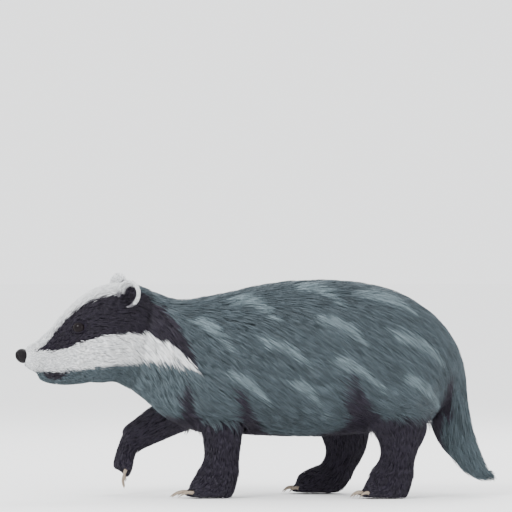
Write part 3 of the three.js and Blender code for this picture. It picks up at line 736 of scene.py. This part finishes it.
# one tuft of hair: a three-sided cone with a few rings along it
def tuftShape(cuts):
    bm = bmesh.new()
    bmesh.ops.create_cone(bm, cap_ends=True, segments=3, radius1=1, radius2=0, depth=1)
    bmesh.ops.translate(bm, verts=bm.verts, vec=(0, 0, 0.5))
    for s in cuts:
        every = bm.verts[:] + bm.edges[:] + bm.faces[:]
        bmesh.ops.bisect_plane(bm, geom=every, plane_co=(0, 0, s), plane_no=(0, 0, 1))
    bmesh.ops.remove_doubles(bm, verts=bm.verts, dist=1e-5)
    bmesh.ops.recalc_face_normals(bm, faces=bm.faces)
    bm.verts.index_update()
    stations = np.array([0, *cuts, 1])
    co = np.array([v.co for v in bm.verts])
    at = np.abs(co[:, 2:3] - stations[None]).argmin(axis=1)
    cross = co[:, :2] / np.maximum(1 - stations[at], 1e-6)[:, None]
    cross[at == len(stations) - 1] = 0
    faces = [[v.index for v in f.verts] for f in bm.faces]
    bm.free()
    return {"s": stations, "at": at, "cross": cross, "faces": faces}


longTuft = tuftShape((0.3, 0.7))
shortTuft = tuftShape((0.45,))
# width, height over the skin and brightness of a tuft at its stations; the brightness is painted light:
# darker at the root as painted shade deep in the coat, and brighter towards the tip, partly the hair's own
# pale tip and partly painted sheen
widthAlong = {0: 0.75, 0.3: 1, 0.45: 1, 0.7: 0.66, 1: 0}
riseAlong = {0: -0.08, 0.3: 0.58, 0.45: 0.68, 0.7: 0.92, 1: 1}
# painted shade at the root of a tuft, painted sheen towards its tip
shadeAndSheenAlong = {0: 0.7, 0.3: 0.82, 0.45: 0.92, 0.7: 1.02, 1: 1.22}


def atStations(profile, stations):
    return np.array([profile[round(float(s), 2)] for s in stations])


def paint(mesh, colours):
    rgba = np.ones((len(colours), 4), np.float32)
    rgba[:, :3] = colours
    mesh.attributes.new("coatColour", "FLOAT_COLOR", "POINT").data.foreach_set("color", rgba.ravel())


# many copies of a tuft, each bent along its own path, in one mesh
def tuftsMesh(name, shape, path, normals, wide, colours, places):
    count, per = len(path), len(shape["at"])
    forward = np.gradient(path, axis=1)
    side = unit(np.cross(normals, forward))
    up = unit(np.cross(forward, side))
    breadth = wide[:, None] * atStations(widthAlong, shape["s"])[None]
    at, cross = shape["at"], shape["cross"]
    points = path[:, at] + side[:, at] * (breadth[:, at] * cross[:, 0])[..., None] * 0.5
    points += up[:, at] * (breadth[:, at] * cross[:, 1])[..., None] * 0.22
    points[..., 2] = np.maximum(points[..., 2], 0.0008)  # clear of the floor

    sizes = np.array([len(f) for f in shape["faces"]])
    pattern = np.concatenate(shape["faces"])
    starts = np.concatenate([[0], np.cumsum(sizes)[:-1]])
    loops = (np.arange(count)[:, None] * per + pattern[None]).ravel()
    begin = (np.arange(count)[:, None] * len(pattern) + starts[None]).ravel()
    mesh = bpy.data.meshes.new(name)
    mesh.vertices.add(count * per)
    mesh.loops.add(len(loops))
    mesh.polygons.add(len(begin))
    mesh.vertices.foreach_set("co", points.astype(np.float32).ravel())
    mesh.loops.foreach_set("vertex_index", loops.astype(np.int32))
    mesh.polygons.foreach_set("loop_start", begin.astype(np.int32))
    mesh.polygons.foreach_set("use_smooth", np.ones(len(begin), bool))
    mesh.update(calc_edges=True)

    # each tuft's colour is darkened at its root as painted shade and brightened towards its tip as painted
    # sheen
    shadeAndSheen = atStations(shadeAndSheenAlong, shape["s"])[at]
    paint(mesh, np.minimum(colours[:, None] * shadeAndSheen[None, :, None], 0.88).reshape(-1, 3))
    patch = np.stack([cross[:, 0] * 0.5, shape["s"][at] - 0.5], axis=1)[pattern] * 0.003
    uv = (places[:, None] + patch[None]).astype(np.float32)
    mesh.uv_layers.new(name="OFBake").data.foreach_set("uv", np.clip(uv, 0, 1).ravel())
    return mesh


formNames = list(forms)
sampleGrids = {"body": (150, 120), "head": (90, 90), "toe": (12, 14), "other": (44, 40)}


# every form's surface in small steps, to tell which form, and where on it, a face of the skin is
def formSamples():
    columns = {"point": [], "form": [], "u": [], "angle": [], "lie": [], "long": [], "deep": []}
    for n, (name, form) in enumerate(forms.items()):
        nu, na = sampleGrids.get(name, sampleGrids["toe" if "_toe_" in name else "other"])
        rows, turns = (np.arange(nu) + 0.5) / nu, (np.arange(na) + 0.5) / na * 2 * math.pi
        u, a = (grid.ravel() for grid in np.meshgrid(rows, turns))
        point, forward, _, normal = form.skin(u, a)
        down = np.broadcast_to([0.0, 0.0, -1.0], point.shape)
        down = unit(down - np.sum(down * normal, axis=1, keepdims=True) * normal)
        if name == "tail":
            forward = unit(forward + (tipLie - forward) * ease((u - 0.7) * 4)[:, None])
        flank = 1 - np.abs(np.sin(a)) ** 3
        long, fall = hairOf(name, u, a, flank)
        columns["point"].append(point)
        columns["form"].append(np.full(len(u), n))
        columns["u"].append(u)
        columns["angle"].append(a)
        columns["lie"].append(unit(forward * np.cos(fall)[:, None] + down * np.sin(fall)[:, None]))
        columns["long"].append(long)
        columns["deep"].append(form.depthAt(u))
    return {key: np.concatenate(value) for key, value in columns.items()}


tipLie = np.array([0.93, 0.0, -0.3])  # the flick at the tip of the tail
hair = {
    "nape": 34, "shoulder": 46, "back": 62, "belly": 34, "vent": 26, "tail": 70, "fold": 34,
    "muzzle": 5, "cheek": 20, "jaw": 9, "leg": 17, "paw": 10, "toe": 6,
}


# length of the hair, and how far its lie falls from straight along the form
def hairOf(name, u, a, flank):
    level = np.zeros(len(u))
    if name == "body":
        grown = hair["nape"] + (hair["shoulder"] - hair["nape"]) * ease(u / neckEnd)
        grown = grown + (hair["back"] - hair["shoulder"]) * ease((u - neckEnd) * 3)
        below = ease(-np.sin(a) * 2.4 - 1.2)
        belly = hair["belly"] + hair["vent"] * ease((u - 0.78) * 6)
        return grown + (belly - grown) * below, 0.62 * flank
    if name == "head":
        grown = hair["muzzle"] + (hair["cheek"] - hair["muzzle"]) * ease((u - 0.2) * 1.3)
        return grown, 0.28 * flank * ease(u * 2 - 0.6)
    if name == "jaw":
        return level + hair["jaw"], level
    if name in ("tail", "fold"):
        return hair[name] * (1 - 0.36 * u) * (1 - 0.42 * ease((u - 0.72) * 4)), level
    kind = "toe" if "_toe_" in name else "paw" if "paw" in name else "leg"
    return level + hair[kind], level


def skinLie(pelt):
    samples = formSamples()
    tree = KDTree(len(samples["point"]))
    for n, point in enumerate(samples["point"].tolist()):
        tree.insert(point, n)
    tree.balance()
    near = np.array([tree.find(p)[1] for p in pelt.middles.tolist()])
    pelt.form = samples["form"][near]
    pelt.u, pelt.angle = samples["u"][near], samples["angle"][near]
    pelt.long, pelt.deep = samples["long"][near], samples["deep"][near]
    pelt.names = np.array(formNames)[pelt.form]
    pelt.hold[(pelt.names == "tail") & (pelt.u > 0.84)] = 0.3  # free at the tip of the tail
    return pelt.combed(samples["lie"][near], 10)


pelt = Pelt(skin, skinLie)
report(f"lie of the coat on {len(pelt.areas)} faces of skin")


# how a piece of coat is grown: tufts per square millimetre, their width, how many lean together and how much,
# and how high they reach, as a share of the coat's depth
styles = {
    "body": {"dense": 0.16, "wide": 1.9, "group": 14, "pull": 0.5, "reach": (0.6, 1.05), "tuft": longTuft},
    "tail": {"dense": 0.14, "wide": 1.8, "group": 9, "pull": 0.25, "reach": (0.75, 1.1), "tuft": longTuft},
    "head": {"dense": 0.32, "wide": 1.3, "group": 7, "pull": 0.25, "reach": (0.75, 1.1), "tuft": shortTuft},
    "ear": {"dense": 0.5, "wide": 1.0, "group": 5, "pull": 0.2, "reach": (0.6, 1.2), "tuft": shortTuft},
    "leg": {"dense": 0.24, "wide": 1.5, "group": 8, "pull": 0.35, "reach": (0.6, 1.05), "tuft": shortTuft},
}
seeds = np.random.default_rng(4129)


# no hair on the eyes or the nose
def bareAround(points):
    spots = [(np.array(eyeFrame(sign).translation), eye["radius"] * eye["bare"]) for sign in (-1, 1)]
    spots.append((noseMiddle(), nose["bare"]))
    bare = np.zeros(len(points), bool)
    for middle, reach in spots:
        bare |= np.linalg.norm(points - middle * mm, axis=1) < reach * mm
    return bare


# each tuft's place on the unwrapped skin: round the form across, along it upwards, one band for each form
def unwrapped(pelt, faces, rng):
    form, angle = pelt.form[faces], pelt.angle[faces]
    middle = np.angle(np.exp(1j * angle).sum())
    across = (angle - middle + math.pi) % (2 * math.pi) + rng.uniform(-0.025, 0.025, len(faces))
    up = pelt.u[faces] + rng.uniform(-0.003, 0.003, len(faces))
    places = np.zeros((len(faces), 2))
    start = 0.0
    for n in np.unique(form):
        chosen = form == n
        band = chosen.mean()
        places[chosen, 0] = stretched(across[chosen])
        places[chosen, 1] = start + stretched(up[chosen]) * band * 0.98
        start += band
    return places * 0.992 + 0.004


def stretched(values):
    return (values - values.min()) / max(values.max() - values.min(), 1e-6)


def growCoat(name, style, chosen, slot, pelt=pelt, colourOf=coatColours):
    look = styles[style]
    rng = np.random.default_rng(seeds.integers(1 << 30))
    sole = (pelt.normals[:, 2] < -0.6) & (pelt.middles[:, 2] < 0.012)
    bare = bareAround(pelt.middles) | sole
    chance = np.where(chosen & ~bare, look["dense"] * 1e6, 0.0)
    count = int(np.sum(chance * pelt.areas))
    faces, roots = pelt.pick(chance, count, rng)
    long = pelt.long[faces] * mm * rng.uniform(0.75, 1.2, count)
    shape = look["tuft"]
    steps = np.diff(shape["s"])
    path, normals = pelt.walk(faces, roots, long, steps, rng)
    deep = pelt.deep[faces] * mm * rng.uniform(*look["reach"], count)
    path += normals * (deep[:, None] * atStations(riseAlong, shape["s"])[None])[..., None]

    # neighbours lean towards the first tufts of the list, which lead the groups
    leaders = max(count // look["group"], 1)
    tree = KDTree(leaders)
    for n, point in enumerate(roots[:leaders].tolist()):
        tree.insert(point, n)
    tree.balance()
    leader = np.array([tree.find(p)[1] for p in roots.tolist()])
    lean = look["pull"] * shape["s"] ** 1.4
    path += (path[leader] - path) * lean[None, :, None]

    names = pelt.names[faces]
    colours = colourOf(path[:, 0] * 0.32 + path[:, -1] * 0.68, names, 1.5, rng)
    groupTone = rng.normal(1, 0.1, leaders)[leader]
    colours = colours * (groupTone * rng.normal(1, 0.09, count))[:, None]
    wide = look["wide"] * mm * rng.uniform(0.7, 1.2, count)
    mesh = tuftsMesh(name, shape, path, normals, wide, colours, unwrapped(pelt, faces, rng))
    mesh.materials.append(furMaterial)
    piece = linked(name, mesh)
    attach(piece, body)
    return count


# a socket that can be added, subtracted and multiplied, from either side
class Wire:
    def __init__(self, shader, socket):
        self.shader = shader
        self.socket = socket

    def maths(self, operation, a, b):
        return self.shader.node("ShaderNodeMath", {"operation": operation}, {0: a, 1: b})

    def __add__(self, other):
        return self.maths("ADD", self, other)

    def __sub__(self, other):
        return self.maths("SUBTRACT", self, other)

    def __rsub__(self, other):
        return self.maths("SUBTRACT", other, self)

    def __mul__(self, other):
        return self.maths("MULTIPLY", self, other)

    __radd__ = __add__
    __rmul__ = __mul__


class Shader:
    def __init__(self, name):
        self.material = bpy.data.materials.new(name)
        self.material.use_nodes = True
        self.tree = self.material.node_tree
        self.tree.nodes.clear()

    def node(self, kind, settings=None, inputs=None, out=0):
        made = self.tree.nodes.new(kind)
        for key, value in (settings or {}).items():
            setattr(made, key, value)
        for key, value in (inputs or {}).items():
            if isinstance(value, Wire):
                self.tree.links.new(value.socket, made.inputs[key])
            else:
                made.inputs[key].default_value = value
        return Wire(self, made.outputs[out]) if len(made.outputs) else None

    def place(self):
        return self.node("ShaderNodeTexCoord", out="Object")

    def attribute(self, name):
        return self.node("ShaderNodeAttribute", {"attribute_name": name})

    def noise(self, scale, detail=3):
        inputs = {"Vector": self.place(), "Scale": scale, "Detail": detail}
        return self.node("ShaderNodeTexNoise", {}, inputs)

    # of a colour mix, sockets 6 and 7 are the colours and 2 is the result
    def mix(self, share, a, b, blend="MIX"):
        settings = {"data_type": "RGBA", "blend_type": blend}
        return self.node("ShaderNodeMix", settings, {0: share, 6: a, 7: b}, 2)

    def bump(self, height, strength, distance):
        inputs = {"Height": height, "Strength": strength, "Distance": distance}
        return self.node("ShaderNodeBump", {}, inputs)

    def finish(self, inputs):
        surface = self.node("ShaderNodeBsdfPrincipled", {}, inputs, "BSDF")
        self.node("ShaderNodeOutputMaterial", {}, {"Surface": surface})
        return self.material


def grey(v):
    return (v, v, v, 1)


def makeFur():
    s = Shader("fur")
    patches = s.noise(45)
    colour = s.mix(1.0, s.attribute("coatColour"), s.mix(patches, grey(0.86), grey(1.12)), "MULTIPLY")
    return s.finish({"Base Color": colour, "Roughness": 0.5 + 0.2 * patches, "Specular IOR Level": 0.35})


# the underfur carries the coat's markings in random streaks and is painted darker than the coat, as painted
# shade deep between the tufts
def makeSkin():
    s = Shader("underfur")
    strands = s.noise(420, 5)
    colour = s.mix(1.0, s.attribute("coatColour"), s.mix(strands, grey(0.45), grey(0.85)), "MULTIPLY")
    return s.finish({
        "Base Color": colour,
        "Roughness": 0.75 + 0.1 * strands,
        "Specular IOR Level": 0.15,
        "Normal": s.bump(strands, 0.5, 0.0012),
    })


furMaterial = makeFur()
skinMaterial = makeSkin()

cornerForm = np.zeros(len(pelt.points), int)
cornerForm[pelt.corners.ravel()] = np.repeat(pelt.form, 3)
paint(skin.data, coatColours(pelt.points, np.array(formNames)[cornerForm]))
skin.data.materials.append(skinMaterial)
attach(skin, body)
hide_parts("head", "lower_jaw", "neck", "torso", "tail", *legRows, *paws)


# how high on the trunk the back starts and the belly ends, and how far back the rump starts
zoneEdge = {"back": 0.82, "belly": -0.7, "rump": 0.62}


def zones():
    names, u, a = pelt.names, pelt.u, pelt.angle
    onBody = names == "body"
    left = pelt.middles[:, 1] < 0
    neck = onBody & (u < neckEnd)
    trunk = onBody & ~neck
    back = trunk & (np.sin(a) > zoneEdge["back"])
    belly = trunk & (np.sin(a) < zoneEdge["belly"])
    flank = trunk & ~back & ~belly
    rump = flank & (u > zoneEdge["rump"])
    face = np.isin(names, ["head", "jaw"])
    made = {
        "coat_neck": ("body", neck, "grey_coat"),
        "coat_back": ("body", back, "grey_coat"),
        "coat_belly": ("body", belly, "grey_coat"),
        "coat_flank_left": ("body", flank & left & ~rump, "grey_coat"),
        "coat_flank_right": ("body", flank & ~left & ~rump, "grey_coat"),
        "coat_rump": ("body", rump, "grey_coat"),
        "coat_tail": ("tail", np.isin(names, ["tail", "fold"]), "tail_coat"),
        "coat_head_left": ("head", face & (np.cos(a) < 0), "face_coat"),
        "coat_head_right": ("head", face & (np.cos(a) >= 0), "face_coat"),
    }
    for name, paw in paws.items():
        parts = [paw["leg"], name] + [f"{name}_toe_{k}" for k in toes["spread"]]
        made[f"coat_{paw['leg']}"] = ("leg", np.isin(names, parts), "dark_coat")
    return made


for name, (style, faces, slot) in zones().items():
    grown = growCoat(name, style, faces, slot)
    report(f"{name}: {grown} tufts")


# eyes
def eyeMaterial():
    s = Shader("eye")
    cloud = s.noise(300)
    colour = s.mix(cloud, (0.003, 0.002, 0.003, 1), (0.009, 0.006, 0.007, 1))
    return s.finish({"Base Color": colour, "Roughness": 0.02 + 0.02 * cloud, "Specular IOR Level": 0.09})


def buildEye(sign, side, material):
    bm = bmesh.new()
    addSphere(bm, 32, 20, eye["radius"] * mm)
    matrix = eyeFrame(sign)
    matrix.translation *= mm
    bmesh.ops.transform(bm, matrix=matrix, verts=bm.verts)
    piece = linked(f"eyeball_{side}", meshFrom(bm, f"eyeball_{side}"))
    piece.data.materials.append(material)
    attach(piece, body)
    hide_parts(f"eye_{side}")


shine = eyeMaterial()
buildEye(-1, "left", shine)
buildEye(1, "right", shine)


# a rounded lid that lies on the ball round an almond opening
def buildLids(sign, side):
    bm = bmesh.new()
    grid = bmesh.ops.create_grid(bm, x_segments=48, y_segments=12, size=0.5)["verts"]
    matrix = eyeFrame(sign)
    r, thick = eye["radius"], eye["lid"]
    for v in grid:
        turn, tube = (v.co.x + 0.5) * 2 * math.pi, (v.co.y + 0.5) * 2 * math.pi
        corner = abs(math.cos(turn)) ** 6
        y = eye["wide"] * math.cos(turn) * (1 + 0.06 * corner)
        z = eye["high"] * math.sin(turn) * (1 - 0.12 * corner) + 0.5
        outwards = Vector((math.sqrt(max(r * r - y * y - z * z, 4)), y, z)).normalized()
        away = Vector((0, y, z)).normalized()
        fold = thick * (1.25 if z > 0 else 1)
        p = outwards * (r + 0.1) + outwards * fold * 0.7 * math.sin(tube) + away * fold * math.cos(tube)
        v.co = (matrix @ p) * mm
    bmesh.ops.remove_doubles(bm, verts=bm.verts, dist=1e-6)
    piece = linked(f"lids_{side}", meshFrom(bm, f"lids_{side}"))
    paint(piece.data, np.tile(shades["black"] * 0.75, (len(piece.data.vertices), 1)))
    piece.data.materials.append(skinMaterial)
    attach(piece, body)


buildLids(-1, "left")
buildLids(1, "right")


# nose pad
def padMaterial():
    s = Shader("nose_leather")
    pebbles = s.node("ShaderNodeTexVoronoi", {}, {"Vector": s.place(), "Scale": 700.0})
    colour = s.mix(s.noise(160), (0.003, 0.0025, 0.003, 1), (0.012, 0.01, 0.012, 1))
    return s.finish({
        "Base Color": colour,
        "Roughness": 0.4 + 0.15 * s.noise(200),
        "Specular IOR Level": 0.07,
        "Normal": s.bump(pebbles, 0.35, 0.0006),
    })


def buildNose():
    bm = bmesh.new()
    addSphere(bm, 56, 36)
    matrix = frameAt(noseMiddle(), withHead(-1, 0, 0.08), withHead(0, 0, 1))
    deep, half, high = (nose[size] for size in ("deep", "half", "high"))
    for v in bm.verts:
        x, y, z = v.co
        lower = max(-z, 0)
        p = Vector((deep * x - 1.5 * lower, y * (half - 4.5 * lower), high * z - 1.5 * lower))
        for sign in (-1, 1):
            dy, dz = p.y - sign * (nose["nostril"] + 1.5 * max(-p.z - 1, 0) / 4), p.z + 1
            hole = math.exp(-((dy / nose["nostrilWide"]) ** 2) - (dz / nose["nostrilHigh"]) ** 2)
            p.x -= nose["nostrilDeep"] * hole * (x > 0)
        groove = math.exp(-((p.y / nose["grooveWide"]) ** 2)) * (x > 0) * (p.z < 3)
        p.x -= nose["grooveDeep"] * groove
        v.co = (matrix @ p) * mm
    piece = linked("nose_leather", meshFrom(bm, "nose_leather"))
    piece.data.materials.append(padMaterial())
    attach(piece, body)
    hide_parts("nose_pad")


buildNose()


# ears: a cup with a rounded rim
ear = {
    "u": 0.872, "angle": 0.76, "lift": 10,  # where it sits on the head
    "half": 20.5, "high": 23, "deep": 12, "wall": 3.5, "forward": 3.5,
}


def earFrame(sign):
    angle = ear["angle"] if sign > 0 else math.pi - ear["angle"]
    p = forms["head"].place(np.array([ear["u"]]), np.array([angle]))[0]
    up = withHead(0.16, 0.55 * sign, 0.82)
    return frameAt(Vector(p) + up * ear["lift"], withHead(-0.7, 0.71 * sign, 0), up)


def buildEar(sign, side):
    bm = bmesh.new()
    addSphere(bm, 40, 30, 1, Matrix.Rotation(math.pi / 2, 4, "Y"))
    matrix = earFrame(sign)
    for v in bm.verts:
        x, y, z = v.co
        spread = math.hypot(y, z)
        shrink = 1.0
        if x < 0:
            deep = ear["deep"] * x
        else:
            hollow = (ear["deep"] - ear["wall"]) * float(ease((x - 0.1) / 0.9))
            deep = 1.2 * math.sin(min(x / 0.3, 1) * math.pi) - hollow
            shrink = 1 - 0.1 * float(ease(x / 0.3))
        p = Vector((deep + ear["forward"] * spread**2, ear["half"] * y * shrink, ear["high"] * z * shrink))
        v.co = (matrix @ p) * mm
    bmesh.ops.triangulate(bm, faces=bm.faces)
    piece = linked(f"ear_cup_{side}", meshFrom(bm, f"ear_cup_{side}"))
    into = matrix.inverted()

    def lie(p):
        p.local = np.array([into @ (Vector(m) / mm) for m in p.middles])
        upwards = np.array(matrix.col[2][:3]) + np.array(matrix.col[0][:3]) * 0.15
        p.form = np.zeros(len(p.middles), int)
        p.names = np.full(len(p.middles), f"ear_{side}")
        p.u = clamp(p.local[:, 2] / (2.6 * ear["high"]) + 0.5)
        p.angle = (p.local[:, 1] / (2.4 * ear["half"]) + 0.5 + 0.5 * (p.local[:, 0] > 2)) % 1 * 2 * math.pi
        p.long = 6.5 + 3 * ease(p.local[:, 2] / ear["high"])
        p.deep = np.full(len(p.middles), 1.6)
        return p.combed(np.broadcast_to(upwards, p.middles.shape), 2)

    fur = Pelt(piece, lie)
    colours = earColours(np.array([into @ (Vector(c) / mm) for c in fur.points]))
    paint(piece.data, colours)
    piece.data.materials.append(skinMaterial)
    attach(piece, body)
    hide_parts(f"ear_{side}")
    return fur


def earColours(local):
    reach = np.hypot(local[:, 1] / ear["half"], local[:, 2] / ear["high"])
    rim = ease((reach - 0.5) / 0.18) * ease(local[:, 2] / 8 + 1.2)
    back = local[:, 0] < ear["forward"] * reach**2 - 1
    inner = np.where(back[:, None], shades["black"], tone(120, 118, 124))
    return inner + (shades["white"] - inner) * rim[:, None]


def growEar(sign, side):
    earPelt = buildEar(sign, side)
    into = earFrame(sign).inverted()

    def colourOf(points, *rest):
        return earColours(np.array([into @ (Vector(p) / mm) for p in points]))

    upper = earPelt.local[:, 2] > -ear["high"] * 0.7
    growCoat(f"coat_ear_{side}", "ear", upper, "ear_coat", earPelt, colourOf)


growEar(-1, "left")
growEar(1, "right")
report("ears, nose and eyes")


# whiskers on the muzzle
whisker = {"wide": 0.4, "long": 42, "sag": 6, "rows": 3, "each": 4, "firstU": 0.13, "stepU": 0.035}


def buildWhiskers():
    rng = np.random.default_rng(77)
    roots, ends = [], []
    for sign in (-1, 1):
        for row in range(whisker["rows"]):
            for n in range(whisker["each"]):
                u = whisker["firstU"] + whisker["stepU"] * n + 0.01 * rng.normal()
                darkBellyAndCreaseShade = -0.05 - 0.2 * row + 0.04 * rng.normal()
                angle = darkBellyAndCreaseShade if sign > 0 else math.pi - darkBellyAndCreaseShade
                p, back, _, normal = forms["head"].surface(np.array([u]), np.array([angle]))
                lean = unit(normal * 0.75 + back * 0.75 + rng.normal(0, 0.1, 3) + [0, 0, -0.12])
                roots.append(p[0] - normal[0] * 2)
                ends.append(lean[0] * whisker["long"] * rng.uniform(0.5, 1))
    roots, ends = np.array(roots), np.array(ends)
    s = longTuft["s"][None, :, None]
    sag = np.array([0, 0, -whisker["sag"]]) * s**2
    path = (roots[:, None] + ends[:, None] * s + sag) * mm
    normals = np.broadcast_to([0.0, 0.0, 1.0], path.shape)
    count = len(roots)
    colours = np.tile(tone(70, 68, 74), (count, 1))
    places = np.stack([np.linspace(0.02, 0.98, count), np.full(count, 0.5)], axis=1)
    wide = np.full(count, whisker["wide"] * mm)
    piece = linked("whiskers", tuftsMesh("whiskers", longTuft, path, normals, wide, colours, places))
    piece.data.materials.append(furMaterial)
    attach(piece, body)


buildWhiskers()


# claws
claw = {"deep": 3.4, "thin": 2.3, "taper": 0.82, "arch": 2.5}


def hornMaterial():
    s = Shader("horn")
    streaks = s.noise(260, 4)
    colour = s.mix(streaks, (0.1, 0.075, 0.055, 1), (0.34, 0.27, 0.2, 1))
    return s.finish({
        "Base Color": colour,
        "Roughness": 0.3 + 0.2 * streaks,
        "Normal": s.bump(streaks, 0.2, 0.0004),
    })


def buildClaw(pawName, k, material):
    paw = paws[pawName]
    root = toeAt(paw, k) + Vector((toes["long"] - 5, 0, 1.5))
    bend = 0.5 if paw.get("hanging") else 0.95
    reach = paw["claw"] + 6
    bm = bmesh.new()
    grid = bmesh.ops.create_grid(bm, x_segments=16, y_segments=14, size=0.5)["verts"]
    for v in grid:
        s, a = v.co.x + 0.5, (v.co.y + 0.5) * 2 * math.pi
        size = (1 - claw["taper"] * s) * (1 - 0.75 * max(s - 0.9, 0) / 0.1)
        ridge = 1 + 0.12 * max(math.sin(a), 0) ** 3
        middle = root + Vector((reach * s, k * 1.4 * s, 0))
        middle.z += claw["arch"] * math.sin(math.pi * s) - bend * (toes["high"] - 0.8) * s * s
        ring = Vector((0, claw["thin"] * size * math.cos(a), claw["deep"] * size * math.sin(a) * ridge))
        p = paw["frame"] @ (middle + ring)
        v.co = Vector((p.x, p.y, max(p.z, 0.2))) * mm
    bmesh.ops.remove_doubles(bm, verts=bm.verts, dist=1e-6)
    bmesh.ops.holes_fill(bm, edges=[e for e in bm.edges if e.is_boundary], sides=0)
    number = toes["spread"].index(k) + 1
    piece = linked(f"horn_{pawName}_{number}", meshFrom(bm, f"horn_{pawName}_{number}"))
    piece.data.materials.append(material)
    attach(piece, body)
    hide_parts(f"claw_{pawName}_{number}")


horn = hornMaterial()
for pawName in paws:
    for k in toes["spread"]:
        buildClaw(pawName, k, horn)
report("claws")


# floor, light and camera
studio = {
    "backdrop": (0.94, 0.95, 0.96, 1), "strength": 2.2, "floor": (0.955, 0.965),
    "lights": {  # place, aim, width and watts
        "key": ((-1.8, -2.6, 2.6), (0, 0, 0.2), 1.6, 120),
        "fill": ((2.4, -2.2, 1.4), (0, 0, 0.2), 2.0, 25),
        "rim": ((0.6, 2.4, 2.6), (0, 0, 0.25), 1.6, 60),
    },
}
view = {"distance": 8.0, "height": 0.3912, "lens": 345}


def makeFloor():
    bm = bmesh.new()
    bmesh.ops.create_grid(bm, x_segments=1, y_segments=1, size=60)
    floor = linked("floor", meshFrom(bm, "floor", smooth=False))
    s = Shader("floor_paint")
    colour = s.mix(s.noise(0.6), *(grey(v) for v in studio["floor"]))
    floor.data.materials.append(s.finish({"Base Color": colour, "Roughness": 0.9}))


def areaLight(name, place, aim, size, watts):
    data = bpy.data.lights.new(name, "AREA")
    data.shape = "DISK"
    data.size = size
    data.energy = watts
    light = linked(name, data)
    light.location = place
    light.rotation_euler = (Vector(place) - Vector(aim)).to_track_quat("Z", "Y").to_euler()


def makeWorld():
    world = bpy.data.worlds.new("studio")
    world.use_nodes = True
    sky = world.node_tree.nodes["Background"]
    sky.inputs["Color"].default_value = studio["backdrop"]
    sky.inputs["Strength"].default_value = studio["strength"]
    bpy.context.scene.world = world


def makeCamera():
    lens = bpy.data.cameras.new("camera")
    lens.lens = view["lens"]
    camera = linked("camera", lens)
    camera.location = (0, -view["distance"], view["height"])
    camera.rotation_euler = (math.pi / 2, 0, 0)
    bpy.context.scene.camera = camera


makeFloor()
makeWorld()
for name, light in studio["lights"].items():
    areaLight(name, *light)
makeCamera()
report("floor, lights and camera")

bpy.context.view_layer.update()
report("done")
